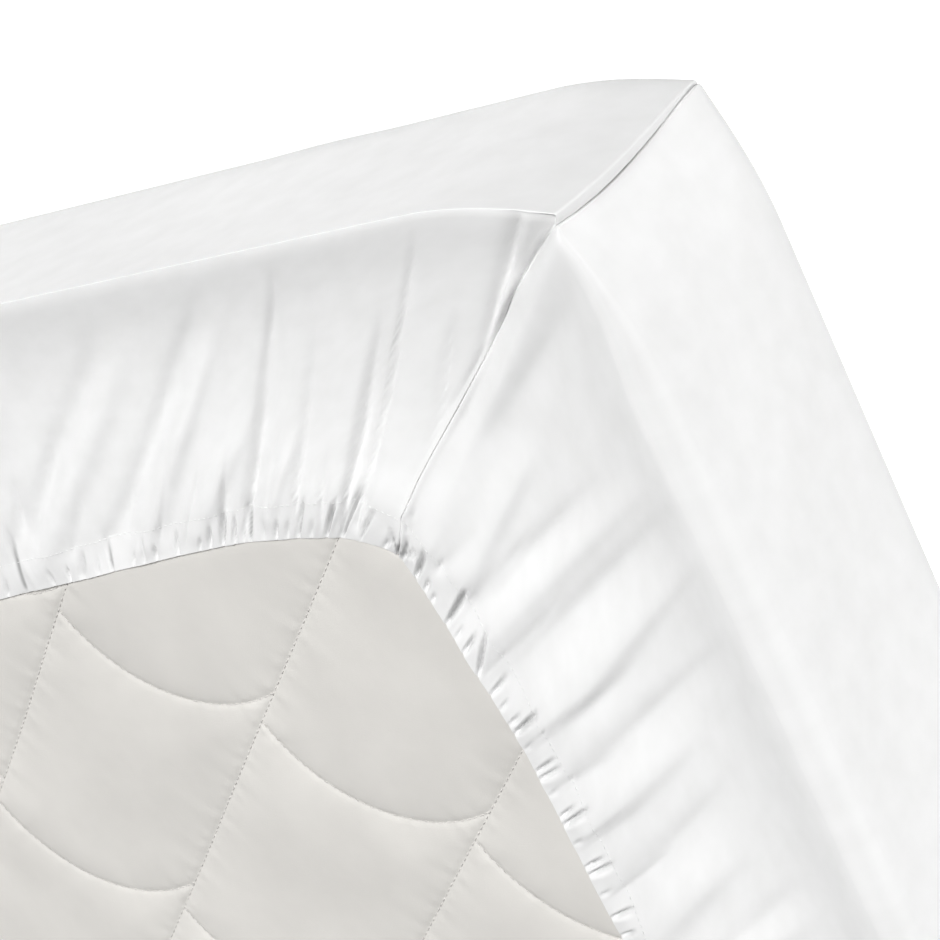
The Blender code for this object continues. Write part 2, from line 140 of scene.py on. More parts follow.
# Which share of each fold's rise shows, on the way from the under edge through the
# stitching to the hem's own edge, where part is 2.
ShareRow = namedtuple("ShareRow", "part share")
FOLD_SHARES = [ShareRow(*row) for row in (
    (0.00, 0.55), (0.10, 0.90), (0.22, 1.00), (0.83, 1.00), (1.00, 0.85), (1.50, 0.60),
    (2.00, 0.30),
)]
# Least height over the mattress, in the flap and in the hem.
FLAP_CLEARANCE = 0.0010
HEM_CLEARANCE = 0.0006

# Folds of the flap by the measured corner, in mm from the corner. A fold runs from its
# start near the mattress edge to its foot at the hem, and is widest at its foot. Some by
# the seam run out towards the corner instead. rise is a fold's height, and sharp runs
# from 0 for a soft swell to 1 for a creased valley.
FoldRow = namedtuple("FoldRow", "from_x from_y to_x to_y half_width rise sharp")
FOLDS_BY_SEAM = [FoldRow(*row) for row in (
    (46, 41, 102, 86, 5, -3.2, 0.8), (48, 42, 9, 15.5, 7, -5.6, 0.8),
    (48, 40, 22, 12, 3, 0.9, 0.2), (80, 68, 33, 20, 3, -3.4, 0.5),
    (112, 112, 12, 25, 7, 2.2, 0.0), (14, 46, 90, 100, 9, -1.0, 0.0),
    (84, 48, 113, 91, 3.5, -2.0, 0.5), (70, 106, 126, 155, 8, 2.0, 0.0),
    (116, 138, 141, 151, 3, -1.8, 0.6), (100, 112, 142, 143, 5, 1.2, 0.2),
)]
FOLDS_OF_SHORT_SIDE = [FoldRow(*row) for row in (
    (83, 14, 182, 134, 2.6, -2.3, 1.0), (108, 46, 178, 128, 5, -1.2, 0.3),
    (121, 45, 191, 133, 6, -3.8, 0.6), (180, 98, 198, 130, 3.5, -2.2, 0.5),
    (155, 41, 214, 128, 5, -1.8, 0.3), (159, 14, 243, 126, 6.5, -3.6, 0.4),
    (228, 84, 258, 128, 4, -1.2, 0.4), (198, 11, 244, 52, 9, -1.0, 0.0),
    (214, 25, 318, 116, 8, -3.4, 0.2), (270, 22, 384, 118, 10, -3.4, 0.1),
    (326, 62, 372, 112, 5, -1.8, 0.3), (368, 84, 400, 140, 5, -3.4, 0.5),
    (188, 84, 222, 118, 5, 1.8, 0.0), (212, 76, 266, 120, 7, 2.2, 0.0),
    (203, 30, 298, 120, 8, 3.0, 0.0), (255, 30, 366, 118, 11, 3.2, 0.0),
    (330, 20, 440, 140, 13, 2.8, 0.0),
)]
FOLDS_OF_LONG_SIDE = [FoldRow(*row) for row in (
    (48, 126, 138, 174, 8, -2.1, 0.1), (20, 127, 138, 190, 8, 1.6, 0.0),
    (12, 139, 146, 213, 11, -2.5, 0.1), (12, 160, 130, 238, 9, 2.0, 0.0),
    (72, 210, 142, 245, 5, -1.7, 0.2), (18, 201, 138, 268, 9, -1.6, 0.1),
    (58, 246, 126, 283, 9, 1.6, 0.0), (96, 274, 138, 294, 5, -1.0, 0.2),
    (50, 267, 126, 317, 10, -1.4, 0.1), (62, 302, 122, 340, 11, 1.8, 0.0),
    (30, 314, 136, 378, 11, -1.4, 0.1),
)]
# At the other corners each fold is shifted along the edge and changed in rise, by up to
# this distance and this share.
CORNER_SHIFT = 0.007
CORNER_RISE_CHANGE = 0.25
# Folds along the middle of the long sides, farther than FAR_FOLD_FIRST from both corners,
# are drawn from these spans.
FAR_FOLD_FIRST = 0.385
FAR_FOLD_PITCH = (0.034, 0.056)
FAR_FOLD_HALF_WIDTH = (0.012, 0.018)
FAR_FOLD_RISE = (0.0020, 0.0036)
FAR_FOLD_LEAN = 0.080
FAR_FOLD_LEAN_CHANGE = 0.012
FAR_FOLD_START_INSET = (0.018, 0.060)
FAR_FOLD_FOOT_INSET = 0.140
FAR_VALLEY_SHARP = 0.3
SEED = 11
# The parts of its run over which a soft fold grows, a crease grows, and both fade.
FOLD_GROWS = (-0.1, 0.55)
CREASE_GROWS = (-0.1, 0.15)
FOLD_FADES = (1.05, 1.3)
FOLD_START_WIDTH = 0.6
CREASE_STEEPNESS = 1.5
# The power of the turn's sine by which the folds grow on their way round the under edge.
EDGE_FOLD_POWER = 4
# How much wider the flank is that faces the sheet's short end, for a fold and a crease.
FOLD_LEAN = 0.35
CREASE_LEAN = 0.6

# Fine creases inside the measured folds, in the same columns.
FINE_CREASES = [FoldRow(*row) for row in (
    (142, 70, 191, 135, 4.0, -2.6, 1.0), (74, 62, 99, 88, 2.4, -1.4, 1.0),
    (130, 58, 176, 114, 2.4, 0.9, 0.2), (152, 100, 169, 122, 3.0, -0.9, 0.9),
    (170, 96, 182, 116, 3.0, -0.8, 0.9), (192, 92, 214, 130, 3.0, -1.4, 1.0),
    (200, 84, 226, 122, 3.3, -1.0, 0.9), (218, 92, 243, 130, 3.0, -1.8, 1.0),
    (238, 96, 252, 122, 3.3, -1.0, 0.9), (254, 96, 276, 122, 3.3, -1.0, 0.8),
    (268, 90, 290, 118, 3.8, -1.0, 0.8), (296, 96, 326, 128, 3.8, -1.2, 0.8),
    (326, 92, 350, 120, 3.8, -1.0, 0.8), (384, 104, 399, 139, 3.3, -1.6, 0.9),
    (98, 148, 139, 171, 3.0, -1.0, 0.9), (96, 178, 140, 201, 3.6, -0.9, 0.8),
    (104, 223, 141, 240, 3.3, -1.0, 0.8), (100, 250, 138, 262, 3.6, -0.7, 0.8),
    (104, 274, 136, 290, 3.3, -0.7, 0.8), (98, 300, 134, 318, 3.8, -0.7, 0.7),
)]

# Puckers that the elastic draws into the hem by the measured corner, in mm. place is the
# distance from the corner along the edge, length how far up a pucker runs from the hem's
# own edge, and slant how much it leans towards the corner on its way up.
PuckerRow = namedtuple("PuckerRow", "place depth width length slant")
PUCKERS_OF_SHORT_SIDE = [PuckerRow(*row) for row in (
    (164.5, 4.2, 0.9, 12, 0.5), (169, 2.1, 0.8, 11, 0.56), (180.5, 3.5, 0.7, 17, 0.66),
    (190, 5.9, 0.9, 24, 0.71), (198, 4.6, 0.8, 17, 0.68), (206, 1.1, 1.2, 9, 0.6),
    (213.5, 3.8, 0.9, 17, 0.64), (219, 1.1, 1.0, 9, 0.5), (225.5, 2.0, 0.8, 9, 0.52),
    (233, 0.8, 1.2, 12, 0.5), (241.5, 4.6, 0.9, 18, 0.46), (245.5, 2.4, 0.7, 8, 0.5),
    (251, 3.1, 0.8, 12, 0.55), (258, 3.8, 0.9, 15, 0.57), (266, 2.0, 1.0, 10, 0.6),
    (273, 1.3, 1.0, 6, 0.8), (287, 2.0, 0.9, 10, 0.5), (301, 2.1, 0.9, 7, 0.4),
    (309, 1.1, 1.2, 12, 0.5), (317, 1.4, 1.0, 6, 0.7), (332, 3.5, 1.0, 15, 0.35),
    (342, 1.1, 1.2, 8, 0.4), (354, 2.0, 2.5, 12, 0.6), (364, 2.0, 0.9, 7, 0.44),
    (376, 1.7, 1.2, 8, 0.2), (398, 4.2, 1.3, 30, 0.36), (412, 2.1, 1.0, 9, 0.6),
    (424, 1.3, 1.0, 10, 0.5),
)]
PUCKERS_OF_LONG_SIDE = [PuckerRow(*row) for row in (
    (147, 4.2, 0.9, 12, 0.5), (156.5, 5.0, 0.9, 15, 0.5), (163, 2.2, 1.0, 7, 0.5),
    (168, 2.1, 0.9, 5, 0.4), (179, 4.2, 0.9, 21, 0.48), (186, 1.1, 1.0, 8, 0.4),
    (193, 2.9, 0.9, 11, 0.48), (205, 3.4, 1.0, 17, 1.0), (214.5, 2.5, 0.9, 13, 0.45),
    (222, 1.1, 1.0, 7, 0.4), (229.7, 1.7, 0.9, 9, 0.34), (234.5, 3.4, 1.0, 18, 0.41),
    (243, 0.8, 1.0, 8, 0.35), (254, 2.5, 0.9, 14, 0.33), (257.5, 2.5, 1.0, 14, 0.29),
    (266, 0.8, 1.0, 8, 0.3), (277, 2.0, 0.9, 10.5, 0.37), (281, 2.9, 1.0, 17, 0.37),
    (291, 0.8, 1.0, 8, 0.3), (303, 2.4, 0.9, 12, 0.3), (307, 2.8, 1.0, 15, 0.3),
    (318, 0.8, 1.0, 8, 0.3), (330, 2.5, 1.0, 14, 0.3), (340, 2.0, 1.0, 10, 0.3),
)]
# The other puckers are drawn from these spans.
PUCKER_PITCH = (0.008, 0.026)
PUCKER_DEPTH = (0.0006, 0.0020)
PUCKER_WIDTH = (0.0026, 0.0046)
PUCKER_LENGTH = (0.007, 0.022)
PUCKER_SLANT = 0.35
# Least distance along the hem between the measured puckers and the drawn ones.
PUCKER_GAP = 0.010
# Every pucker has low lips, this share of its depth high and this many widths aside. It
# widens on its way up, and fades between these parts of its length.
PUCKER_LIP = 0.08
PUCKER_LIP_PLACE = 1.9
PUCKER_WIDENING = 0.030
PUCKER_FADES = (0.55, 1.25)
# How much wider than the other the flank of a measured pucker is that lies away from the
# corner on the short side, and towards it on the long one.
PUCKER_LEAN = 0.3
# How much of a pucker is left at the hem's own edge, and how far in it is whole.
PUCKER_AT_EDGE = 0.12
PUCKER_EDGE_REACH = 0.004
# Painted shade in the puckers: the depth at which a pucker's bottom is painted as grey as it
# gets for want of light, and the power by which it gets so.
PUCKER_SHADE_DEPTH = 0.0040
PUCKER_SHADE_POWER = 1.5

# Soft pulls on the side faces by the measured corner, in mm: distance from the corner
# and height over the floor.
PullRow = namedtuple("PullRow", "from_along from_height to_along to_height half_width rise")
PULLS_OF_SHORT_SIDE = [PullRow(*row) for row in (
    (38, 10, 175, 72, 13, 1.1), (70, 18, 240, 96, 15, -0.9), (28, 60, 130, 112, 9, 0.8),
    (150, 20, 420, 66, 20, 0.7),
)]
PULLS_OF_LONG_SIDE = [PullRow(*row) for row in (
    (34, 16, 190, 84, 16, 0.8), (60, 12, 300, 70, 18, -0.7), (26, 78, 110, 104, 10, 0.6),
    (200, 22, 560, 80, 24, 0.6),
)]
# By the other corners a pull's rise is changed by a factor from this span.
PULL_CHANGE = (0.6, 1.3)
# The parts of its run over which a pull grows and fades.
PULL_GROWS = (-0.15, 0.25)
PULL_FADES = (0.6, 1.1)
# Slow waves of the side faces. Each has SIDE_WAVE_SLANT more turns in a metre of height
# than its number, and starts SIDE_WAVE_SHIFT of a turn after the one before.
SIDE_WAVE = 0.0003
SIDE_WAVE_LENGTHS = (0.171, 0.263, 0.397)
SIDE_WAVE_SLANT = 3
SIDE_WAVE_SHIFT = 0.37
# The height under the flap's level over which pulls and waves fade out.
SIDE_FADE = 0.020

# ---------------------------------------------------------------- mesh of the sheet
# Steps between the columns at the hem, which come in whole groups. The flap has every
# second column, the skirt every fourth, and the mattress one of each group.
SEAM_STEP = 0.00016
SEAM_STEP_REACH = 0.014
FINE_STEP = 0.00075
FINE_REACH = 0.430
COARSE_STEP = 0.0042
COLUMN_GROUP = 8
FLAP_THINNING = 2
SKIRT_THINNING = 4
STEP_BLEND = 0.090
# Number of places along a side at which these steps are counted up.
STEP_SAMPLES = 20001
# An inset at which a column's place is in the quarter of its nearest corner.
QUARTER_INSET = 0.2
# A distance beyond everything on the object.
FAR = 9.0
SLEEP_EDGE_STEPS = 5
SIDE_STEPS = 8
UNDER_EDGE_STEPS = 6
FLAP_STEPS = 23
FLAP_STEP_EVENING = 0.6
# The usual distance from the under edge to the stitching.
FLAP_SPAN = 0.115
# The share of the side and of the flap that one narrow ring takes beside the under edge.
EDGE_GUARD = 0.006
SLEEP_FACE_RING = 0.030

# Distances of the hem's rows from its own edge, in mm, from the flap to the roll.
HEM_ROW_DISTANCES = (17.2, 16.0, 14.6, 12.6, 10.5, 8.4, 6.4, 4.6, 3.0, 1.6, 0.45, 0.33)
HEM_CROWN = 0.0003
# Height of the hem's edge over the mattress, on the short sides and on the long ones, and
# the number of columns over which it averages the quilting.
HEM_EDGE_HEIGHT = (0.0019, 0.0042)
HEM_EDGE_AVERAGE = 41
# How much of its rise the hem keeps for its last stretch, by its edge.
HEM_UPTURN = 0.45
# The rolled edge turns down by HEM_ROLL_TURN from HEM_ROLL_START, in degrees. The cloth
# turned in behind it has rings at these distances, HEM_REST over the mattress.
HEM_ROLL_RADIUS = 0.0004
HEM_ROLL_STEPS = 4
HEM_ROLL_START = 60
HEM_ROLL_TURN = 150
HEM_TURNED_IN = (0.0024, 0.0060)
HEM_REST = 0.0002
# The number of columns to either side that give the hem's direction.
DIRECTION_REACH = 4
# Cloth that would come nearer to the mattress than this, or sink in, is eased off it.
EASING = 0.001

# The groove of a corner seam, the room that the cloth keeps for it, and the lips beside it.
SEAM_GROOVE = 0.0018
SEAM_GROOVE_WIDTH = 0.0006
SEAM_GROOVE_SPARE = 0.0040
SEAM_LIP = 0.00015
SEAM_LIP_PLACE = 0.0022
SEAM_LIP_WIDTH = 0.0010

# The length, pitch and radius of stitches, and by how many radii their thread lies over
# the cloth and its ends sink.
ThreadRow = namedtuple("ThreadRow", "stitch pitch radius lift sink")
HEM_THREAD = ThreadRow(0.0022, 0.0034, 0.00013, 1.2, 2.2)
QUILT_THREAD = ThreadRow(0.0027, 0.0041, 0.00024, 1.3, 2.0)

# The mattress's width and length, which bound its quilted field. Before it was fitted, the
# sheet's cloth was the sleep face, the sides and the flap, less a square at each corner, which
# the corner seam closes.
MATTRESS_WIDTH = 0.900
MATTRESS_LENGTH = 2.000

# ---------------------------------------------------------------- quilting
# Slanting straight lines, and rows of scallops between them. A scallop runs from one line
# to the next and ends SCALLOP_DROP farther back. Each row starts SCALLOP_STEP_BACK before
# the last.
QUILT_ANGLE = math.radians(41.0)
QUILT_LINE_PITCH = 0.112
SCALLOP_PITCH = 0.155
SCALLOP_RADIUS = 0.085
SCALLOP_DROP = 0.046
SCALLOP_STEP_BACK = 0.024
QUILT_START = (0.294, 0.222)
# Depth of the quilting at its stitching, and the distance over which it fades.
QUILT_DEPTH = 0.0026
QUILT_REACH = 0.0140
THREAD_GROOVE = 0.0004
THREAD_GROOVE_WIDTH = 0.0014
QUILT_MARGIN = 0.030
# The underside is a little crowned: low under the flap, high in the opening.
CROWN_EDGE = -0.0036
CROWN_MIDDLE = 0.0046
CROWN_SPAN = (0.085, 0.137)
CORNER_SINK = 0.0055
CORNER_SINK_SPAN = (0.050, 0.150)
# Slow swells of the whole field, one along X and one along Y, each bent along the other:
# paces in radians by metre.
SwellRow = namedtuple("SwellRow", "pace bend_pace start")
SWELLS = (SwellRow(31, 17, 0), SwellRow(27, 23, 1))
SWELL_BEND = 2
QUILT_SWELL = 0.0007
# Fine wrinkles that cross the stitching, highest at their reach from it. They are shifted
# by SCALLOP_RUN_SHIFT from one scallop to the next.
WaveRow = namedtuple("WaveRow", "length share start")
WRINKLES = (WaveRow(0.0086, 1.0, 0.0), WaveRow(0.0133, 0.7, 1.0), WaveRow(0.0211, 0.8, 2.0))
QUILT_WRINKLE = 0.000432
QUILT_WRINKLE_REACH = 0.0055
SCALLOP_RUN_SHIFT = 0.31
# The part of the underside that the camera sees has the closer mesh.
CLOSE_LOW = (0.100, 0.090)
CLOSE_HIGH = (0.590, 0.500)
MeshRow = namedtuple("MeshRow", "step offsets field_step clearance")
CLOSE_MESH = MeshRow(0.0024, (0.0, 0.0007, 0.0016, 0.0034), 0.0044, 0.0052)
WIDE_MESH = MeshRow(0.0060, (0.0, 0.0016, 0.0052), 0.0125, 0.0095)
# How much nearer to another line of stitching than its own a point of the mesh may lie.
MESH_ROW_SLACK = 0.0003
# Points of the mesh that are nearer than this count as one.
MERGE_DISTANCE = 1e-4
# Asks the triangulation for the triangles inside its outline.
TRIANGLES_INSIDE = 1
MATTRESS_EDGE_STEPS = 4
# The step at which the stitching lines are followed, and how far under the hem they run.
QUILT_TRACE_STEP = 0.001
THREAD_UNDER_HEM = 0.008

# ---------------------------------------------------------------- camera and light
CAMERA_FOCUS = (0.1056, 0.1117, 0.1240)
CAMERA_DISTANCE = 1.2519
CAMERA_AZIMUTH = math.radians(296.124)
CAMERA_ELEVATION = math.radians(42.538)
CAMERA_ROLL = math.radians(-134.110)
CAMERA_LENS = 120.0
SENSOR = 36.0

# The key light comes from above. The others come from below the floor's level, as from low
# reflectors, so that they light the object's sides alone.
LightRow = namedtuple("LightRow", "name towards strength width")
LIGHTS = [
    LightRow("key", (-0.25, -0.51, 0.82), 3.16, math.radians(25)),
    LightRow("low_left", (-0.66, 0.42, -0.62), 1.85, math.radians(30)),
    LightRow("low_right", (0.94, -0.22, -0.24), 1.25, math.radians(30)),
    LightRow("low_back", (0.40, 0.88, -0.24), 0.80, math.radians(30)),
]
LIGHT_DISTANCE = 5.0
# Strength of the world's light from above and from below the level of the floor, and how
# far from that level one runs into the other.
SKY_STRENGTH = 0.20
GROUND_STRENGTH = 0.60
HORIZON_BLEND = 0.2
VIEW_GAMMA = 0.75
FLOOR_RADIUS = 40.0
FLOOR_SIDES = 128
FLOOR_DROP = 0.0004

# ---------------------------------------------------------------- colours and textures
# Darkest and lightest tone of each material, and the part of its noise that lies between.
COTTON_TONES = ((0.845, 0.845, 0.842, 1.0), (0.875, 0.875, 0.874, 1.0))
TICKING_TONES = ((0.725, 0.711, 0.686, 1.0), (0.775, 0.761, 0.734, 1.0))
HEM_THREAD_TONES = ((0.82, 0.82, 0.82, 1.0), (0.87, 0.87, 0.87, 1.0))
QUILT_THREAD_TONES = ((0.68, 0.67, 0.65, 1.0), (0.74, 0.73, 0.71, 1.0))
TONE_SPAN = (0.3, 0.7)
# Grey painted into the depth of the puckers as shade, where little light reaches.
PAINTED_PUCKER_SHADE = (0.50, 0.50, 0.50, 1.0)
FLOOR_GREY = (0.80, 0.80, 0.80, 1.0)
FLOOR_GLOW = 0.85
WHITE = (1.0, 1.0, 1.0, 1.0)
# Scales of the noise, by metre: across and along the sheet's threads, its slow change of
# tone, the ticking's mottle and its grain, and the fluff of the sewing threads.
WARP_SCALE = (2600.0, 160.0, 1.0)
WEFT_SCALE = (160.0, 2600.0, 1.0)
COTTON_TONE_SCALE = (60.0, 60.0, 1.0)
MOTTLE_SCALE = (22.0, 22.0, 22.0)
GRAIN_SCALE = (1500.0, 1500.0, 1500.0)
FLUFF_SCALE = (900.0, 900.0, 900.0)


# ---------------------------------------------------------------- small helpers
def smooth_step(low, high, value):
    part = np.clip((value - low) / (high - low), 0.0, 1.0)
    return part * part * (3 - 2 * part)


def curve_through(rows, at):
    """The second column of the rows at these values of the first, on a smooth curve."""
    places, values = np.array(rows, dtype=float).T
    slopes = np.diff(values) / np.diff(places)
    slopes = np.concatenate([slopes[:1], (slopes[1:] + slopes[:-1]) / 2, [0.0]])
    at = np.clip(at, places[0], places[-1])
    number = np.clip(np.searchsorted(places, at, side="right") - 1, 0, len(places) - 2)
    step = places[number + 1] - places[number]
    part = (at - places[number]) / step
    rest = 1 - part
    low = values[number] * rest * rest * (1 + 2 * part)
    high = values[number + 1] * part * part * (1 + 2 * rest)
    return low + high + step * part * rest * (slopes[number] * rest - slopes[number + 1] * part)


def ring_average(values, count):
    """Each value of a closed ring averaged with its neighbours, count in all."""
    reach = count // 2
    padded = np.concatenate([values[-reach:], values, values[:reach]])
    return np.convolve(padded, np.full(count, 1 / count), mode="valid")


def unit(vectors):
    return vectors / np.linalg.norm(vectors, axis=-1, keepdims=True)


def new_object(name, points, faces, material):
    mesh = bpy.data.meshes.new(name)
    mesh.from_pydata(points.tolist(), [], faces)
    mesh.validate()
    mesh.materials.append(material)
    mesh.shade_smooth()
    thing = bpy.data.objects.new(name, mesh)
    bpy.context.scene.collection.objects.link(thing)
    return thing


# ---------------------------------------------------------------- plan of the sheet
Side = namedtuple("Side", "short start along inward length walked fine_end")


def sides():
    """The four sides in turn, walked with the mattress on the left."""
    width, length = 2 * HALF_X, 2 * HALF_Y
    return [
        Side(True, (-HALF_X, -HALF_Y), (1, 0), (0, 1), width, 0.0, "start"),
        Side(False, (HALF_X, -HALF_Y), (0, 1), (-1, 0), length, width, None),
        Side(True, (HALF_X, HALF_Y), (-1, 0), (0, -1), width, width + length, None),
        Side(False, (-HALF_X, HALF_Y), (0, -1), (1, 0), length, 2 * width + length, "end"),
    ]


def column_places(side):
    """Where the mesh's columns meet the sheet's edge, in whole groups."""
    dense = np.linspace(CORNER_CUT, side.length - CORNER_CUT, STEP_SAMPLES)
    from_fine = {"start": dense, "end": side.length - dense, None: np.full_like(dense, FAR)}
    coarse = smooth_step(FINE_REACH, FINE_REACH + STEP_BLEND, from_fine[side.fine_end])
    step = FINE_STEP + (COARSE_STEP - FINE_STEP) * coarse
    from_seam = np.minimum(dense, side.length - dense) - CORNER_CUT
    step = SEAM_STEP + (step - SEAM_STEP) * smooth_step(0.0, SEAM_STEP_REACH, from_seam)
    counted = np.concatenate([[0.0], np.cumsum(np.diff(dense) / step[1:])])
    number = COLUMN_GROUP * round(counted[-1] / COLUMN_GROUP)
    return np.interp(np.arange(number) * counted[-1] / number, counted, dense)


class Columns:
    """Every column of the sheet's mesh, walking round its edge from the measured corner."""

    def __init__(self):
        parts = [(side, column_places(side)) for side in sides()]

        def spread(value_of):
            rows = [np.tile(np.atleast_1d(value_of(side)), (len(at), 1)) for side, at in parts]
            return np.concatenate(rows).astype(float)

        self.along = np.concatenate([at for _, at in parts])
        self.start = spread(lambda side: side.start)
        self.run = spread(lambda side: side.along)
        self.inward = spread(lambda side: side.inward)
        self.length = spread(lambda side: side.length)[:, 0]
        self.short = spread(lambda side: side.short)[:, 0] > 0.5
        self.walked = spread(lambda side: side.walked)[:, 0] + self.along
        self.near = np.minimum(self.along, self.length - self.along)
        self.second_half = self.along > self.length / 2
        self.corner = np.sign(self.place(self.near, np.full_like(self.near, QUARTER_INSET)))
        self.longness = self.blend_of_sides()
        self.under_radius = self.rounded_edge()
        self.to_short = self.towards_short_side()

    def place(self, near, inset):
        along = np.where(self.second_half, self.length - near, near)
        return self.start + self.run * along[:, None] + self.inward * inset[:, None]

    def blend_of_sides(self):
        """0 on the short sides and 1 on the long ones, running smoothly across each seam."""
        away = smooth_step(0.0, SIDE_BLEND_REACH, self.near - CORNER_CUT)
        on_short = SEAM_LONGNESS * (1 - away)
        return np.where(self.short, on_short, SEAM_LONGNESS + (1 - SEAM_LONGNESS) * away)

    def blended(self, of_short, of_long):
        return of_short + (of_long - of_short) * self.longness

    def rounded_edge(self):
        """Radius of the under edge, which tightens fast on the short side of each seam."""
        share = np.where(self.short, (self.longness / SEAM_LONGNESS) ** RADIUS_FALL_POWER, 1.0)
        spare = EDGE_OF_LONG_SIDE.radius - EDGE_OF_SHORT_SIDE.radius
        return EDGE_OF_SHORT_SIDE.radius + spare * self.longness * share

    def edge(self, inset):
        """Plan points at this inset from the sheet's outer face."""
        ease = np.clip((CORNER_REACH - self.near) / (CORNER_REACH - CORNER_CUT), 0.0, None)
        return self.place(self.near + inset * ease, CORNER_CUT * ease**2 + inset)

    def towards_short_side(self):
        """Plan directions along the sheet's edge, towards the short side by the nearest corner."""
        outline = self.edge(np.zeros_like(self.near))
        walk = unit(np.roll(outline, -1, axis=0) - np.roll(outline, 1, axis=0))
        return walk * self.corner.prod(axis=1)[:, None]

    def hem(self):
        """Plan points of the hem's stitching and of the hem's own edge."""
        foot = np.where(self.short, HEM_OF_SHORT_SIDE[0].along, HEM_OF_LONG_SIDE[0].along) * MM
        lean_ends = np.where(self.short, LEAN_ENDS_SHORT, LEAN_ENDS_LONG)
        lean = (foot - CORNER_CUT) * (1 - smooth_step(CORNER_CUT, lean_ends, self.near))
        near = self.near + lean
        of_short = curve_through(HEM_OF_SHORT_SIDE, near / MM)
        of_long = curve_through(HEM_OF_LONG_SIDE, near / MM)
        inset = np.where(self.short, of_short, of_long) * MM
        inset = inset + hem_wave(self.walked, near - foot)
        hem = self.place(near, inset)
        start = self.edge(self.under_radius)
        part = HEM_WIDTH / (inset - self.under_radius)
        return hem + (start - hem) * part[:, None], hem

    def bow(self, part):
        """How far the sheet's threads bow aside near a seam."""
        aside = curve_through(SEAM_BOW, np.broadcast_to(part, self.near.shape)) * MM
        aside = aside * np.exp(-(self.near - CORNER_CUT) / SEAM_BOW_REACH)
        return self.to_short * aside[:, None]

    def seams(self):
        """For each column, the number of the column that lies on the nearest seam."""
        on_seam = np.flatnonzero(np.isclose(self.near, CORNER_CUT))
        corners = [tuple(sign) for sign in self.corner[on_seam]]
        return np.array([on_seam[corners.index(tuple(sign))] for sign in self.corner])


def hem_wave(walked, from_foot):
    """How far the wave moves the hem: not at all at a seam's foot or the measured corner."""
    from_measured = np.minimum(walked, 4 * (HALF_X + HALF_Y) - walked)
    grown = smooth_step(HEM_WAVE_STARTS, HEM_WAVE_FULL, from_measured)
    grown = grown * smooth_step(0.0, HEM_WAVE_LENGTH / 4, from_foot)
    return HEM_WAVE * grown * np.sin(math.tau * from_measured / HEM_WAVE_LENGTH)


# ---------------------------------------------------------------- folds
Fold = namedtuple("Fold", "start foot half_width rise sharp lean")


def mirrored_folds(table, draw):
    """The folds of a table at the measured corner, and changed a little at the others."""
    found = []
    for side_x, side_y in ((-1, -1), (1, -1), (1, 1), (-1, 1)):
        measured = (side_x, side_y) == (-1, -1)
        for row in table:
            shift = 0.0 if measured else draw.uniform(-CORNER_SHIFT, CORNER_SHIFT)
            change = 1.0 if measured else 1 + draw.uniform(-1, 1) * CORNER_RISE_CHANGE
            ends = []
            for x, y in ((row.from_x, row.from_y), (row.to_x, row.to_y)):
                x, y = x * MM, y * MM
                if y < x:
                    x += shift
                else:
                    y += shift
                ends.append(np.array((side_x * (HALF_X - x), side_y * (HALF_Y - y))))
            rise = row.rise * MM * change
            lean = FOLD_LEAN + (CREASE_LEAN - FOLD_LEAN) * row.sharp
            lean *= side_x * side_y
            found.append(Fold(*ends, row.half_width * MM, rise, row.sharp, lean))
    return found


def far_folds():
    """Folds along the middle of the two long sides, leaning less towards the middle."""
    draw = random.Random(SEED + 1)
    found = []
    for side_x in (-1, 1):
        place = -HALF_Y + FAR_FOLD_FIRST
        rising = True
        while place < HALF_Y - FAR_FOLD_FIRST:
            lean = draw.uniform(-1, 1) * FAR_FOLD_LEAN_CHANGE - FAR_FOLD_LEAN * place / HALF_Y
            start_inset = draw.uniform(*FAR_FOLD_START_INSET)
            start = np.array((side_x * (HALF_X - start_inset), place - lean))
            foot = np.array((side_x * (HALF_X - FAR_FOLD_FOOT_INSET), place))
            rise = draw.uniform(*FAR_FOLD_RISE) * (1 if rising else -1)
            sharp = 0.0 if rising else FAR_VALLEY_SHARP
            width = draw.uniform(*FAR_FOLD_HALF_WIDTH)
            found.append(Fold(start, foot, width, rise, sharp, -FOLD_LEAN * side_x))
            rising = not rising
            place += draw.uniform(*FAR_FOLD_PITCH)
    return found


def all_folds():
    main = FOLDS_BY_SEAM + FOLDS_OF_SHORT_SIDE + FOLDS_OF_LONG_SIDE
    folds = mirrored_folds(main, random.Random(SEED)) + far_folds()
    return folds + mirrored_folds(FINE_CREASES, random.Random(SEED + 2))


def fold_height(fold, points):
    """Height that one fold adds at these plan points."""
    run = fold.foot - fold.start
    length = np.linalg.norm(run)
    run = run / length
    offset = points - fold.start
    part = offset @ run / length
    width = fold.half_width * (FOLD_START_WIDTH + (1 - FOLD_START_WIDTH) * np.clip(part, 0, 1))
    across = offset[..., 0] * run[1] - offset[..., 1] * run[0]
    width = width * (1 + fold.lean * np.sign(across * fold.rise))
    across = np.abs(across) / width
    ends = np.array(FOLD_GROWS) * (1 - fold.sharp) + np.array(CREASE_GROWS) * fold.sharp
    grown = smooth_step(*ends, part) * (1 - smooth_step(*FOLD_FADES, part))
    soft, creased = np.exp(-across**2), np.exp(-CREASE_STEEPNESS * across)
    profile = (1 - fold.sharp) * soft + fold.sharp * creased
    return fold.rise * grown * profile


# ---------------------------------------------------------------- puckers
def hem_lengths(hem):
    """Distance along the hem's edge at each column, from the measured seam."""
    steps = np.linalg.norm(np.roll(hem, -1, axis=0) - hem, axis=1)
    return np.concatenate([[0.0], np.cumsum(steps[:-1])]), steps.sum()


Pucker = namedtuple("Pucker", "place depth width length slant lean")


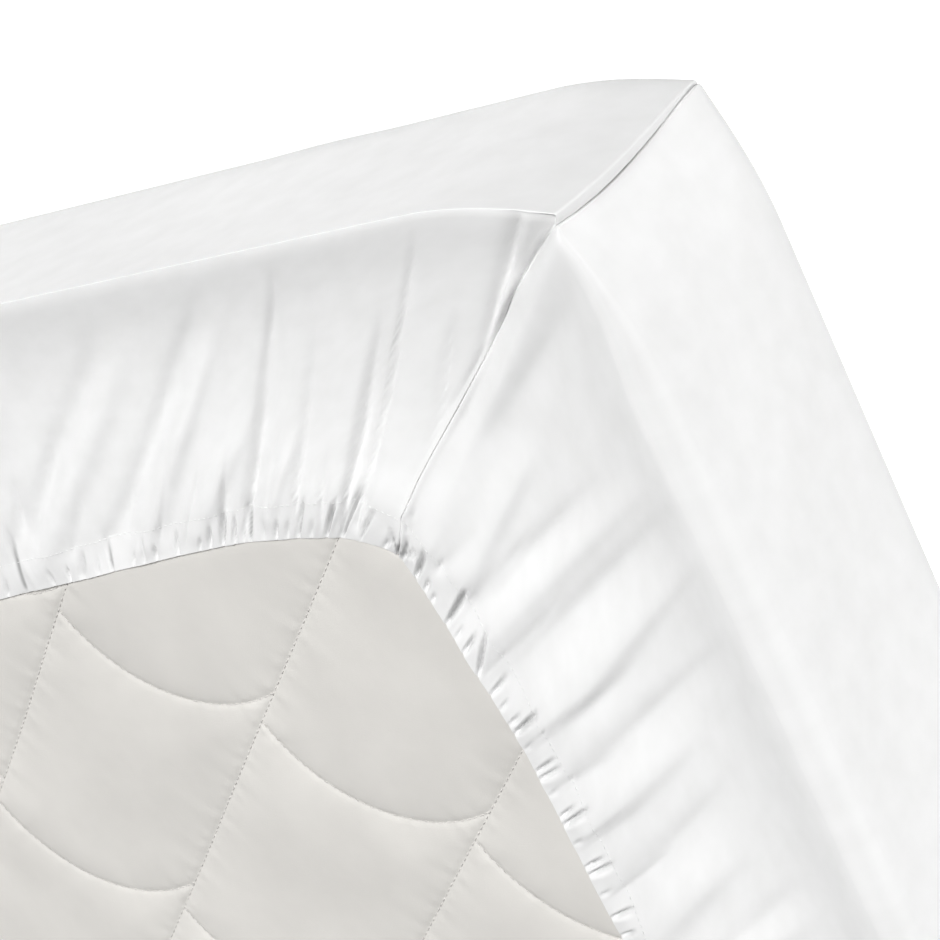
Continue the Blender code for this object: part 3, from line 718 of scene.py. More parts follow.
def measured_puckers(columns, hem, lengths):
    """The measured puckers, placed along the hem; a seam's two sides walk apart."""
    found = []
    from_corner = hem + np.array([HALF_X, HALF_Y])
    at_corner = (columns.corner < 0).all(axis=1)
    for table, on_side, axis, walk in (
        (PUCKERS_OF_SHORT_SIDE, at_corner & columns.short, 0, 1),
        (PUCKERS_OF_LONG_SIDE, at_corner & ~columns.short, 1, -1),
    ):
        order = np.argsort(from_corner[on_side, axis])
        places = from_corner[on_side, axis][order]
        at = lengths[on_side][order]
        for row in table:
            place = np.interp(row.place * MM, places, at)
            sizes = (row.depth * MM, row.width * MM, row.length * MM)
            found.append(Pucker(place, *sizes, -row.slant * walk, PUCKER_LEAN * walk))
    return found


def drawn_puckers(first, last):
    """Puckers drawn one after another along the rest of the hem."""
    draw = random.Random(SEED + 3)
    found = []
    place = first
    while place < last:
        depth = draw.uniform(*PUCKER_DEPTH)
        width = draw.uniform(*PUCKER_WIDTH)
        length = draw.uniform(*PUCKER_LENGTH)
        slant = draw.uniform(-PUCKER_SLANT, PUCKER_SLANT)
        found.append(Pucker(place, depth, width, length, slant, 0.0))
        place += draw.uniform(*PUCKER_PITCH)
    return found


def pucker_height(puckers, places, distances, whole):
    """Height that the puckers add at these places along the hem and distances from it."""
    height = np.zeros_like(places)
    at_edge = smooth_step(0.0, PUCKER_EDGE_REACH, distances)
    at_edge = PUCKER_AT_EDGE + (1 - PUCKER_AT_EDGE) * at_edge
    for pucker in puckers:
        away = places - pucker.place - pucker.slant * distances
        away = (away + whole / 2) % whole - whole / 2
        width = pucker.width * (1 + pucker.lean * np.sign(away)) + PUCKER_WIDENING * distances
        scaled = np.abs(away) / width
        starts, ends = (part * pucker.length for part in PUCKER_FADES)
        faded = 1 - smooth_step(starts, ends, distances)
        profile = PUCKER_LIP * np.exp(-((scaled - PUCKER_LIP_PLACE) ** 2)) - np.exp(-scaled**2)
        height += pucker.depth * faded * at_edge * profile
    return height


# ---------------------------------------------------------------- sides of the sheet
def pulls():
    """(walked, height) ends, half width and rise of each pull on the side faces."""
    around = 4 * (HALF_X + HALF_Y)
    corners = [0.0, 2 * HALF_X, 2 * HALF_X + 2 * HALF_Y, 4 * HALF_X + 2 * HALF_Y]
    draw = random.Random(SEED + 4)
    found = []
    for number, corner in enumerate(corners):
        for table, on_long in ((PULLS_OF_SHORT_SIDE, False), (PULLS_OF_LONG_SIDE, True)):
            forward = (number % 2 == 0) != on_long
            for row in table:
                change = 1.0 if number == 0 else draw.uniform(*PULL_CHANGE)
                sign = 1 if forward else -1
                start = ((corner + sign * row.from_along * MM) % around, row.from_height * MM)
                run = (sign * (row.to_along - row.from_along) * MM,
                       (row.to_height - row.from_height) * MM)
                found.append((start, run, row.half_width * MM, row.rise * MM * change))
    return found


def side_bulge(walked, height):
    """How far the side faces stand out, from the pulls and from slow waves."""
    around = 4 * (HALF_X + HALF_Y)
    bulge = np.zeros_like(walked)
    for (start, level), (run, climb), half_width, rise in pulls():
        length = math.hypot(run, climb)
        away = (walked - start + around / 2) % around - around / 2
        part = (away * run + (height - level) * climb) / length**2
        across = (away * climb - (height - level) * run) / length / half_width
        fading = smooth_step(*PULL_GROWS, part) * (1 - smooth_step(*PULL_FADES, part))
        bulge += rise * fading * np.exp(-across**2)
    for number, wave in enumerate(SIDE_WAVE_LENGTHS):
        turns = walked / wave + height * (SIDE_WAVE_SLANT + number) + number * SIDE_WAVE_SHIFT
        bulge += SIDE_WAVE * np.sin(math.tau * turns)
    clear = smooth_step(0.0, SLEEP_EDGE_RADIUS, height)
    return bulge * clear * (1 - smooth_step(FLAP_BASE - SIDE_FADE, FLAP_BASE, height))


# ---------------------------------------------------------------- sheet
class Sheet:
    """Builds the sheet's rings of points, from the middle of its sleep face to its hem."""

    def __init__(self):
        self.columns = Columns()
        self.stitching, self.hem_edge = self.columns.hem()
        self.start = self.columns.edge(self.columns.under_radius)
        self.lengths, self.whole = hem_lengths(self.hem_edge)
        self.seam_of = self.columns.seams()
        self.folds = all_folds()
        self.puckers = self.all_puckers()
        self.stitch_ring = None

    def all_puckers(self):
        measured = measured_puckers(self.columns, self.hem_edge, self.lengths)
        on_short = [place for place, *_ in measured if place < self.whole / 2]
        on_long = [place for place, *_ in measured if place > self.whole / 2]
        return measured + drawn_puckers(max(on_short) + PUCKER_GAP, min(on_long) - PUCKER_GAP)

    def seam_relief(self, from_seam):
        groove = SEAM_GROOVE * np.exp(-((from_seam / SEAM_GROOVE_WIDTH) ** 2))
        lips = SEAM_LIP * np.exp(-(((from_seam - SEAM_LIP_PLACE) / SEAM_LIP_WIDTH) ** 2))
        return lips - groove

    def skirt(self):
        """Rings of the sleep face, the two edges and the sides."""
        columns = self.columns
        flat = np.zeros_like(columns.near)
        from_seam = columns.near - CORNER_CUT
        ridge = columns.blended(LIFT_OF_SHORT_SIDE[0].lift, LIFT_OF_LONG_SIDE[0].lift) * MM
        rings = [self.ring(columns.edge(flat + SLEEP_FACE_RING), flat)]
        tight = np.exp(-from_seam / SLEEP_EDGE_RADIUS)
        low = SLEEP_EDGE_RADIUS + (SLEEP_EDGE_RADIUS_AT_SEAM - SLEEP_EDGE_RADIUS) * tight
        radius = columns.under_radius
        top = FLAP_BASE + ridge
        side_top = top - radius
        for k in range(SLEEP_EDGE_STEPS):
            angle = math.radians(90) * k / SLEEP_EDGE_STEPS
            height = low * (1 - math.cos(angle))
            inset = low * (1 - math.sin(angle)) - self.seam_relief(from_seam) * math.sin(angle)
            plan = columns.edge(inset) + columns.bow(height / side_top - 1)
            rings.append(self.ring(plan, height))
        for share in (*np.linspace(0, 1, SIDE_STEPS + 1)[:-1], 1 - EDGE_GUARD, 1.0):
            height = low + (side_top - low) * share
            bulge = side_bulge(columns.walked, height) + self.seam_relief(from_seam)
            plan = columns.edge(-bulge) + columns.bow(height / side_top - 1)
            rings.append(self.ring(plan, height))
        squareness = columns.blended(EDGE_OF_SHORT_SIDE.squareness, EDGE_OF_LONG_SIDE.squareness)
        relief = self.seam_relief(from_seam)
        for k in range(1, UNDER_EDGE_STEPS + 1):
            angle = math.radians(90) * k / UNDER_EDGE_STEPS
            out = math.cos(angle) ** (2 / squareness) if k < UNDER_EDGE_STEPS else flat
            up = math.sin(angle) ** (2 / squareness)
            plan = columns.edge(radius * (1 - out) - relief * math.cos(angle)) + columns.bow(0.0)
            height = top - radius * (1 - up) + relief * math.sin(angle)
            folded = self.fold_relief(plan, 0.0) * math.sin(angle) ** EDGE_FOLD_POWER
            rings.append(self.ring(plan, height + folded))
        return rings

    def ring(self, plan, height):
        return np.column_stack([plan, height])

    def lift(self, part):
        """Height of the flap without its folds, at one part of its way in."""
        tables = (LIFT_OF_SHORT_SIDE, LIFT_OF_LONG_SIDE, LIFT_BY_SEAM)
        part = np.full_like(self.columns.near, part)
        of_short, of_long, by_seam = (curve_through(table, part) for table in tables)
        share = np.exp(-(((self.columns.near - CORNER_CUT) / LIFT_BY_SEAM_REACH) ** 2))
        away = self.columns.blended(of_short, of_long)
        return (away + (by_seam - away) * share) * MM

    def fold_relief(self, plan, part):
        share = curve_through(FOLD_SHARES, np.array([part]))[0]
        return share * sum(fold_height(fold, plan) for fold in self.folds)

    def from_seam(self, plan):
        return np.linalg.norm(plan - plan[self.seam_of], axis=1)

    def flap(self):
        """Rings of the flap, up to just before the hem's stitching."""
        rings = []
        last = 1 - (HEM_ROW_DISTANCES[0] * MM - HEM_WIDTH) / FLAP_SPAN
        even = np.arange(1, FLAP_STEPS + 1) / (FLAP_STEPS + 1)
        eased = (1 - np.cos(math.pi * even)) / 2
        parts = last * (FLAP_STEP_EVENING * even + (1 - FLAP_STEP_EVENING) * eased)
        for part in (EDGE_GUARD, *parts):
            plan = self.start + (self.stitching - self.start) * part + self.columns.bow(part)
            height = self.lift(part) + self.fold_relief(plan, part) + self.puckered(plan)
            height = self.settled(plan, height, FLAP_CLEARANCE)
            rings.append(self.ring(plan, FLAP_BASE + height))
        return rings

    def settled(self, plan, height, clearance):
        """Eases the cloth off the mattress, and sinks the seam's groove into it."""
        from_seam = self.from_seam(plan)
        spare = SEAM_GROOVE * np.exp(-((from_seam / SEAM_GROOVE_SPARE) ** 2))
        least = mattress_height(plan) + clearance + spare - FLAP_BASE
        room = height - least
        eased = np.where(room > EASING, room, EASING * np.exp(np.minimum(room / EASING - 1, 0)))
        return least + eased + self.seam_relief(from_seam)

    def puckered(self, plan):
        """Height that the hem's puckers add at these plan points."""
        offset = plan - self.hem_edge
        ahead = np.roll(self.hem_edge, -DIRECTION_REACH, axis=0)
        tangent = unit(ahead - np.roll(self.hem_edge, DIRECTION_REACH, axis=0))
        along = (offset * tangent).sum(axis=1)
        distance = offset[:, 0] * tangent[:, 1] - offset[:, 1] * tangent[:, 0]
        return pucker_height(self.puckers, self.lengths + along, distance, self.whole)

    def shade(self, ring):
        """How much painted shade the depth of a pucker puts on each point of a ring, from 0 to 1.
        """
        deep = np.clip(-self.puckered(ring[:, :2]) / PUCKER_SHADE_DEPTH, 0.0, 1.0)
        return deep**PUCKER_SHADE_POWER

    def hem(self):
        """Rings of the hem, its rolled edge and the cloth turned in under it."""
        rings = []
        out = unit(self.hem_edge - self.stitching)
        under = ring_average(mattress_height(self.hem_edge), HEM_EDGE_AVERAGE)
        edge_lift = under - FLAP_BASE + self.columns.blended(*HEM_EDGE_HEIGHT)
        stitch_lift = self.lift(1.0)
        for distance in HEM_ROW_DISTANCES:
            part = 1 - distance * MM / HEM_WIDTH
            plan = self.stitching + (self.hem_edge - self.stitching) * part
            plan = plan + self.columns.bow(1 + part)
            crown = HEM_CROWN * math.sin(math.pi * min(1.0, max(0.0, part))) ** 2
            risen = (1 - HEM_UPTURN) * part + HEM_UPTURN * part**3
            lift = stitch_lift + (edge_lift - stitch_lift) * risen
            height = lift + crown + self.fold_relief(plan, 1 + part) + self.puckered(plan)
            height = self.settled(plan, height, HEM_CLEARANCE)
            rings.append(self.ring(plan, FLAP_BASE + height))
            if part == 0:
                self.stitch_ring = rings[-1]
        return rings + self.hem_roll(rings[-1], out)

    def hem_roll(self, before, out):
        """The rolled edge, which reaches down to the mattress, and the cloth turned in."""
        rings = []
        centre = self.hem_edge - out * HEM_ROLL_RADIUS
        lowest = mattress_height(self.hem_edge) + HEM_REST
        half = np.maximum((before[:, 2] - lowest) / 2, HEM_ROLL_RADIUS)
        for k in range(HEM_ROLL_STEPS + 1):
            angle = math.radians(HEM_ROLL_START - HEM_ROLL_TURN * k / HEM_ROLL_STEPS)
            plan = centre + out * (HEM_ROLL_RADIUS * math.cos(angle))
            rings.append(self.ring(plan, lowest + half * (1 + math.sin(angle))))
        for distance in HEM_TURNED_IN:
            plan = centre - out * distance
            height = np.maximum(lowest, mattress_height(plan) + HEM_REST)
            rings.append(self.ring(plan, height))
        return rings


def joined_faces(rings):
    """Faces between rings, each with as many points as the one before or twice as many."""
    faces = []
    start = 0
    for lower, upper in zip(rings, rings[1:]):
        count, times = len(lower), len(upper) // len(lower)
        here = np.arange(count)
        after = (here + 1) % count
        low, low_after = start + here, start + after
        top = start + count
        if times == 1:
            quads = np.column_stack([low, low_after, top + after, top + here])
            faces += quads.tolist()
        else:
            left, middle = top + 2 * here, top + 2 * here + 1
            right = top + (2 * here + 2) % len(upper)
            faces += np.column_stack([low, middle, left]).tolist()
            faces += np.column_stack([low, low_after, middle]).tolist()
            faces += np.column_stack([low_after, right, middle]).tolist()
        start += count
    return faces


def add_cloth_map(thing, rings, walked):
    """A UV map in metres: along the edge, and from the sleep face towards the hem."""
    around = 4 * (HALF_X + HALF_Y)
    u, v, down = [], [], 0.0
    for number, ring in enumerate(rings):
        thinning = len(walked) // len(ring)
        if number:
            before = rings[number - 1]
            down += np.linalg.norm(ring[0] - before[0])
        u.append(walked[::thinning])
        v.append(np.full(len(ring), down))
    u, v = np.concatenate(u), np.concatenate(v)
    mesh = thing.data
    corners = np.empty(len(mesh.loops), dtype=np.int64)
    mesh.loops.foreach_get("vertex_index", corners)
    u, v = u[corners], v[corners]
    sizes = np.empty(len(mesh.polygons), dtype=np.int64)
    mesh.polygons.foreach_get("loop_total", sizes)
    face_of = np.repeat(np.arange(len(sizes)), sizes)
    highest = np.full(len(sizes), -1.0)
    np.maximum.at(highest, face_of, u)
    u = np.where(highest[face_of] - u > around / 2, u + around, u)
    layer = mesh.uv_layers.new(name="cloth")
    layer.data.foreach_set("uv", np.column_stack([u, v]).ravel())


def make_sheet(material):
    sheet = Sheet()
    skirt = [ring[::SKIRT_THINNING] for ring in sheet.skirt()]
    flap, hem = sheet.flap(), sheet.hem()
    # Painted shade for the depth of the puckers, none on the skirt.
    shades = [np.zeros(len(ring)) for ring in skirt]
    shades += [sheet.shade(ring)[::FLAP_THINNING] for ring in flap]
    shades += [sheet.shade(ring) for ring in hem]
    rings = skirt + [ring[::FLAP_THINNING] for ring in flap] + hem
    faces = joined_faces(rings)
    faces.append(list(reversed(range(len(rings[0])))))
    thing = new_object("sheet_cloth", np.concatenate(rings), faces, material)
    add_cloth_map(thing, rings, sheet.columns.walked)
    layer = thing.data.attributes.new("painted_pucker_shade", "FLOAT", "POINT")
    layer.data.foreach_set("value", np.concatenate(shades))
    return thing, sheet


# ---------------------------------------------------------------- sewing
def resampled(points, pitch, closed=False):
    """Points at an even pitch along a line of points, and the directions there."""
    if closed:
        points = np.concatenate([points, points[:1]])
    steps = np.linalg.norm(np.diff(points, axis=0), axis=1)
    lengths = np.concatenate([[0.0], np.cumsum(steps)])
    count = int(lengths[-1] / pitch)
    at = (np.arange(count) + 0.5) * lengths[-1] / max(count, 1)

    def position(where):
        return np.column_stack([np.interp(where, lengths, column) for column in points.T])

    ahead = position(np.minimum(at + pitch / 3, lengths[-1]))
    behind = position(np.maximum(at - pitch / 3, 0.0))
    return position(at), unit(ahead - behind)


def thread_mesh(centres, directions, thread):
    """One stitch of thread at each point: a short rod whose ends dive into the cloth."""
    ring_places = np.array([-0.5, -0.33, 0.33, 0.5])
    ring_radii = np.array([0.35, 1.0, 1.0, 0.35]) * thread.radius
    ring_drops = np.array([1.0, 0.05, 0.05, 1.0]) * (thread.radius * thread.sink)
    sides_round = 5
    up = np.array([0.0, 0.0, 1.0])
    across = unit(np.cross(directions, up))
    points = []
    for place, size, drop in zip(ring_places, ring_radii, ring_drops):
        middle = centres + directions * (place * thread.stitch) - up * drop
        for k in range(sides_round):
            angle = math.tau * k / sides_round
            aside, above = math.cos(angle) * size, math.sin(angle) * size
            points.append(middle + across * aside + up * above)
    points = np.array(points).transpose(1, 0, 2)
    template = []
    for ring in range(len(ring_places) - 1):
        for k in range(sides_round):
            low, low_after = ring * sides_round + k, ring * sides_round + (k + 1) % sides_round
            template.append([low, low + sides_round, low_after + sides_round, low_after])
    offsets = np.arange(len(centres)) * points.shape[1]
    faces = (np.array(template)[None] + offsets[:, None, None]).reshape(-1, 4).tolist()
    last = points.shape[1]
    caps = [list(range(sides_round)), list(reversed(range(last - sides_round, last)))]
    for cap in caps:
        faces += (np.array(cap)[None] + offsets[:, None]).tolist()
    return points.reshape(-1, 3), faces


def make_hem_stitches(sheet, material):
    centres, directions = resampled(sheet.stitch_ring, HEM_THREAD.pitch, closed=True)
    centres[:, 2] += HEM_THREAD.radius * HEM_THREAD.lift
    points, faces = thread_mesh(centres, directions, HEM_THREAD)
    return new_object("hem_sewing", points, faces, material)


# ---------------------------------------------------------------- mattress
QUILT_RUN = np.array([math.cos(QUILT_ANGLE), math.sin(QUILT_ANGLE)])
QUILT_ACROSS = np.array([-QUILT_RUN[1], QUILT_RUN[0]])
QUILT_ORIGIN = np.array([-HALF_X + QUILT_START[0], -HALF_Y + QUILT_START[1]])
SCALLOP_CHORD = np.array([-SCALLOP_DROP, QUILT_LINE_PITCH])
SCALLOP_UP = unit(np.array([QUILT_LINE_PITCH, SCALLOP_DROP]))
SCALLOP_HALF = np.linalg.norm(SCALLOP_CHORD) / 2
SCALLOP_CENTRE = SCALLOP_CHORD / 2 - SCALLOP_UP * math.sqrt(SCALLOP_RADIUS**2 - SCALLOP_HALF**2)


def quilt_runs(step):
    """Every stitched line and scallop as a row of plan points, past the mattress's edges."""
    reach = math.hypot(MATTRESS_WIDTH, MATTRESS_LENGTH)
    lines = math.ceil(reach / QUILT_LINE_PITCH)
    scallops = math.ceil(reach / SCALLOP_PITCH)
    straight = np.arange(-reach, reach, step)[:, None] * QUILT_RUN
    half_angle = math.asin(SCALLOP_HALF / SCALLOP_RADIUS)
    count = round(2 * half_angle * SCALLOP_RADIUS / step)
    angles = np.linspace(-half_angle, half_angle, count + 1)[:, None]
    chord = unit(SCALLOP_CHORD)
    arc = SCALLOP_CENTRE + SCALLOP_RADIUS * (SCALLOP_UP * np.cos(angles) + chord * np.sin(angles))
    runs = []
    for line in range(-lines, lines + 1):
        foot = QUILT_ORIGIN + QUILT_ACROSS * (line * QUILT_LINE_PITCH)
        runs.append(foot + straight)
        for number in range(-scallops, scallops + 1):
            along = arc[:, :1] + number * SCALLOP_PITCH - line * SCALLOP_STEP_BACK
            runs.append(foot + along * QUILT_RUN + arc[:, 1:] * QUILT_ACROSS)
    return [run for run in runs if in_quilted_field(run).any()]


def in_quilted_field(points):
    from_end = MATTRESS_LENGTH / 2 - QUILT_MARGIN - np.abs(points[:, 1])
    from_side = MATTRESS_WIDTH / 2 - QUILT_MARGIN - np.abs(points[:, 0])
    return (np.minimum(from_end, from_side) > 0) & (from_end + from_side > QUILT_MARGIN)


def quilt_coordinates(points):
    """Distance to the nearest stitching, and distance along it."""
    offset = points - QUILT_ORIGIN
    along, across = offset @ QUILT_RUN, offset @ QUILT_ACROSS
    line = np.floor(across / QUILT_LINE_PITCH)
    level = across - line * QUILT_LINE_PITCH
    distance = np.minimum(level, QUILT_LINE_PITCH - level)
    run = along.copy()
    place = along + line * SCALLOP_STEP_BACK
    number = np.round(place / SCALLOP_PITCH)
    for step in (-1, 0, 1):
        from_centre = place - (number + step) * SCALLOP_PITCH - SCALLOP_CENTRE[0]
        height = level - SCALLOP_CENTRE[1]
        reach = np.hypot(from_centre, height)
        ahead = from_centre * SCALLOP_UP[0] + height * SCALLOP_UP[1] > 0
        from_arc = np.where(ahead, np.abs(reach - SCALLOP_RADIUS), FAR)
        nearer = from_arc < distance
        distance = np.where(nearer, from_arc, distance)
        turned = np.arctan2(height, from_centre) * SCALLOP_RADIUS
        run = np.where(nearer, turned + (number + step) * SCALLOP_RUN_SHIFT, run)
    return distance, run


def quilt_height(points):
    """Height of the quilted underside, from the mattress's top."""
    distance, run = quilt_coordinates(points)
    height = -QUILT_DEPTH * np.exp(-distance / QUILT_REACH)
    height -= THREAD_GROOVE * np.exp(-((distance / THREAD_GROOVE_WIDTH) ** 2))
    wrinkle = sum(row.share * np.sin(math.tau * run / row.length + row.start) for row in WRINKLES)
    reach = distance / QUILT_WRINKLE_REACH
    height += QUILT_WRINKLE * wrinkle * reach * np.exp(-reach)
    x, y = points.T
    swell = sum(
        np.sin(here * row.pace + SWELL_BEND * np.sin(there * row.bend_pace) + row.start)
        for row, here, there in zip(SWELLS, (x, y), (y, x)))
    return height + QUILT_SWELL * (swell / 2 - 1)


def crown_height(points):
    """Height of the mattress's underside before its quilting: low at its edges and corners."""
    from_side, from_end = HALF_X - np.abs(points[:, 0]), HALF_Y - np.abs(points[:, 1])
    grown = smooth_step(*CROWN_SPAN, np.minimum(from_side, from_end))
    sunk = 1 - smooth_step(*CORNER_SINK_SPAN, np.hypot(from_side, from_end))
    crown = CROWN_EDGE + (CROWN_MIDDLE - CROWN_EDGE) * grown - CORNER_SINK * sunk
    return MATTRESS_TOP + crown


def mattress_height(points):
    return crown_height(points) + quilt_height(points)


def is_close(points):
    from_corner = points + np.array([HALF_X, HALF_Y])
    return ((from_corner > CLOSE_LOW) & (from_corner < CLOSE_HIGH)).all(axis=1)


def quilt_mesh_points():
    """Rows of points beside every stitched line, and staggered ones between them."""
    found = []
    for mesh_row, close in ((CLOSE_MESH, True), (WIDE_MESH, False)):
        for run in quilt_runs(mesh_row.step):
            along = unit(np.gradient(run, axis=0))
            aside = np.column_stack([-along[:, 1], along[:, 0]])
            for offset in mesh_row.offsets:
                for sign in (1, -1) if offset else (1,):
                    points = run + aside * (offset * sign)
                    keep = in_quilted_field(points) & (is_close(points) == close)
                    distance = quilt_coordinates(points[keep])[0]
                    found.append(points[keep][distance > offset - MESH_ROW_SLACK])
        row_step = mesh_row.field_step * math.sqrt(3) / 2
        xs = np.arange(-MATTRESS_WIDTH / 2, MATTRESS_WIDTH / 2, mesh_row.field_step)
        ys = np.arange(-MATTRESS_LENGTH / 2, MATTRESS_LENGTH / 2, row_step)
        x, y = np.meshgrid(xs, ys)
        x = x + (np.arange(len(ys)) % 2 * mesh_row.field_step / 2)[:, None]
        field = np.column_stack([x.ravel(), y.ravel()])
        field = field[in_quilted_field(field) & (is_close(field) == close)]
        found.append(field[quilt_coordinates(field)[0] > mesh_row.clearance])
    return np.concatenate(found)


def mattress_rings(columns):
    """Rings of the mattress's sleep face, sides and edges."""
    rings = []
    flat = np.zeros_like(columns.near)
    angles = [math.radians(90) * k / MATTRESS_EDGE_STEPS for k in range(MATTRESS_EDGE_STEPS + 1)]
    for angle in angles:
        inset = MATTRESS_INSET + MATTRESS_LOW_RADIUS * (1 - math.sin(angle))
        height = MATTRESS_BOTTOM + MATTRESS_LOW_RADIUS * (1 - math.cos(angle))
        rings.append(np.column_stack([columns.edge(flat + inset), flat + height]))
    rim_inset = flat + MATTRESS_INSET + MATTRESS_HIGH_RADIUS
    rim = crown_height(columns.edge(rim_inset)) - QUILT_DEPTH
    for angle in angles:
        inset = MATTRESS_INSET + MATTRESS_HIGH_RADIUS * (1 - math.cos(angle))
        height = rim - MATTRESS_HIGH_RADIUS * (1 - math.sin(angle))
        rings.append(np.column_stack([columns.edge(flat + inset), height]))
    return [ring[::COLUMN_GROUP] for ring in rings]


def make_mattress(columns, material):
    rings = mattress_rings(columns)
    faces = joined_faces(rings)
    faces.append(list(reversed(range(len(rings[0])))))
    outline = rings[-1][:, :2]
    inner = quilt_mesh_points()
    flat = [Vector(point) for point in np.concatenate([outline, inner]).tolist()]
    loop = list(range(len(outline)))
    edges = list(zip(loop, loop[1:] + loop[:1]))
    made, _, triangles, origins, _, _ = delaunay_2d_cdt(
        flat, edges, [loop], TRIANGLES_INSIDE, MERGE_DISTANCE)
    made = np.array([point[:] for point in made])
    heights = mattress_height(made)
    fixed = sum(len(ring) for ring in rings[:-1])
    before = sum(len(ring) for ring in rings)
    numbers = []
    for number, origin in enumerate(origins):
        on_outline = [k for k in origin if k < len(outline)]
        numbers.append(fixed + on_outline[0] if on_outline else before + number)
    faces += [[numbers[k] for k in triangle] for triangle in triangles]
    points = np.concatenate(rings + [np.column_stack([made, heights])])
    return new_object("quilted_mattress", points, faces, material)


def make_quilt_stitches(sheet, material):
    centres, directions = [], []
    for run in quilt_runs(QUILT_TRACE_STEP):
        at, along = resampled(run, QUILT_THREAD.pitch)
        shown = in_opening(at, sheet)
        centres.append(at[shown])
        directions.append(along[shown])
    centres, directions = np.concatenate(centres), np.concatenate(directions)
    heights = mattress_height(centres) + QUILT_THREAD.radius * QUILT_THREAD.lift
    centres = np.column_stack([centres, heights])
    directions = np.column_stack([directions, np.zeros(len(directions))])
    points, faces = thread_mesh(centres, directions, QUILT_THREAD)
    return new_object("quilt_sewing", points, faces, material)


def in_opening(points, sheet):
    """True for the points that the hem leaves uncovered, with a little to spare."""
    edge = sheet.hem_edge
    from_side = np.abs(edge[:, 0]).max() + THREAD_UNDER_HEM - np.abs(points[:, 0])
    from_end = np.abs(edge[:, 1]).max() + THREAD_UNDER_HEM - np.abs(points[:, 1])
    return np.minimum(from_side, from_end) > 0


# ---------------------------------------------------------------- materials
def with_inputs(made, inputs):
    """The node with these values in the inputs of these names, where _ is a space."""
    for name, value in inputs.items():
        made.inputs[name.replace("_", " ")].default_value = value
    return made


def node(tree, kind, **inputs):
    return with_inputs(tree.nodes.new(kind), inputs)


def link(tree, source, output, target, name):
    tree.links.new(source.outputs[output], target.inputs[name])


def new_material(name, **inputs):
    """A material, its node tree and its surface node with these inputs."""
    material = bpy.data.materials.new(name)
    material.use_nodes = True
    tree = material.node_tree
    return material, tree, with_inputs(tree.nodes["Principled BSDF"], inputs)


def scaled_noise(tree, coordinates, output, scale, detail=2.0):
    """Noise over coordinates that are scaled first, so that it can be drawn out."""
    mapping = node(tree, "ShaderNodeMapping", Scale=scale)
    link(tree, coordinates, output, mapping, "Vector")
    noise = node(tree, "ShaderNodeTexNoise", Scale=1.0, Detail=detail)
    link(tree, mapping, "Vector", noise, "Vector")
    return noise


def toned(tree, noise, tones):
    """The noise as a colour between the two tones."""
    ramp = tree.nodes.new("ShaderNodeValToRGB")
    for element, position, tone in zip(ramp.color_ramp.elements, TONE_SPAN, tones):
        element.position = position
        element.color = tone
    link(tree, noise, "Fac", ramp, "Fac")
    return ramp


def add_bump(tree, source, output, shader, strength, distance):
    bump = node(tree, "ShaderNodeBump", Strength=strength, Distance=distance)
    link(tree, source, output, bump, "Height")
    link(tree, bump, "Normal", shader, "Normal")


def cotton_material():
    """Fine white percale: slubby threads both ways, a little sheen, and shade painted grey into
    the depth of its puckers.
    """
    material, tree, shader = new_material(
        "white_percale", Roughness=0.78, Specular_IOR_Level=0.25,
        Sheen_Weight=0.06, Sheen_Roughness=0.45, Sheen_Tint=WHITE)
    uv = tree.nodes.new("ShaderNodeUVMap")
    uv.uv_map = "cloth"
    slow = scaled_noise(tree, uv, "UV", COTTON_TONE_SCALE, detail=4.0)
    # The base colour is painted grey as shade in the depth of the puckers.
    shade = tree.nodes.new("ShaderNodeAttribute")
    shade.attribute_name = "painted_pucker_shade"
    shaded = node(tree, "ShaderNodeMixRGB", Color2=PAINTED_PUCKER_SHADE)
    link(tree, shade, "Fac", shaded, "Fac")
    link(tree, toned(tree, slow, COTTON_TONES), "Color", shaded, "Color1")
    link(tree, shaded, "Color", shader, "Base Color")
    threads = tree.nodes.new("ShaderNodeMath")
    threads.operation = "ADD"
    for number, scale in enumerate((WARP_SCALE, WEFT_SCALE)):
        link(tree, scaled_noise(tree, uv, "UV", scale), "Fac", threads, number)
    add_bump(tree, threads, "Value", shader, strength=0.22, distance=0.00012)
    return material


def ticking_material():
    """Matt pale grey knitted ticking, a little mottled."""
    material, tree, shader = new_material(
        "grey_ticking", Roughness=0.9, Specular_IOR_Level=0.2, Sheen_Weight=0.08)
    place = tree.nodes.new("ShaderNodeTexCoord")
    mottle = scaled_noise(tree, place, "Object", MOTTLE_SCALE, detail=5.0)
    link(tree, toned(tree, mottle, TICKING_TONES), "Color", shader, "Base Color")
    grain = scaled_noise(tree, place, "Object", GRAIN_SCALE)
    add_bump(tree, grain, "Fac", shader, strength=0.35, distance=0.00025)
    return material


def thread_material(name, tones):
    material, tree, shader = new_material(name, Roughness=0.7)
    place = tree.nodes.new("ShaderNodeTexCoord")
    fluff = scaled_noise(tree, place, "Object", FLUFF_SCALE)
    link(tree, toned(tree, fluff, tones), "Color", shader, "Base Color")
    return material


def floor_material():
    """Nearly white, and a little bright of itself, so that it fades into the background."""
    return new_material(
        "pale_floor", Base_Color=FLOOR_GREY, Roughness=1.0, Specular_IOR_Level=0.0,
        Emission_Color=WHITE, Emission_Strength=FLOOR_GLOW)[0]


# ---------------------------------------------------------------- stage
def make_floor():
    angles = np.arange(FLOOR_SIDES) * math.tau / FLOOR_SIDES
    rim = np.column_stack([np.cos(angles), np.sin(angles)]) * FLOOR_RADIUS
    points = np.column_stack([rim, np.full(FLOOR_SIDES, -FLOOR_DROP)])
    floor = new_object("floor", points, [list(range(FLOOR_SIDES))], floor_material())
    floor.visible_diffuse = False


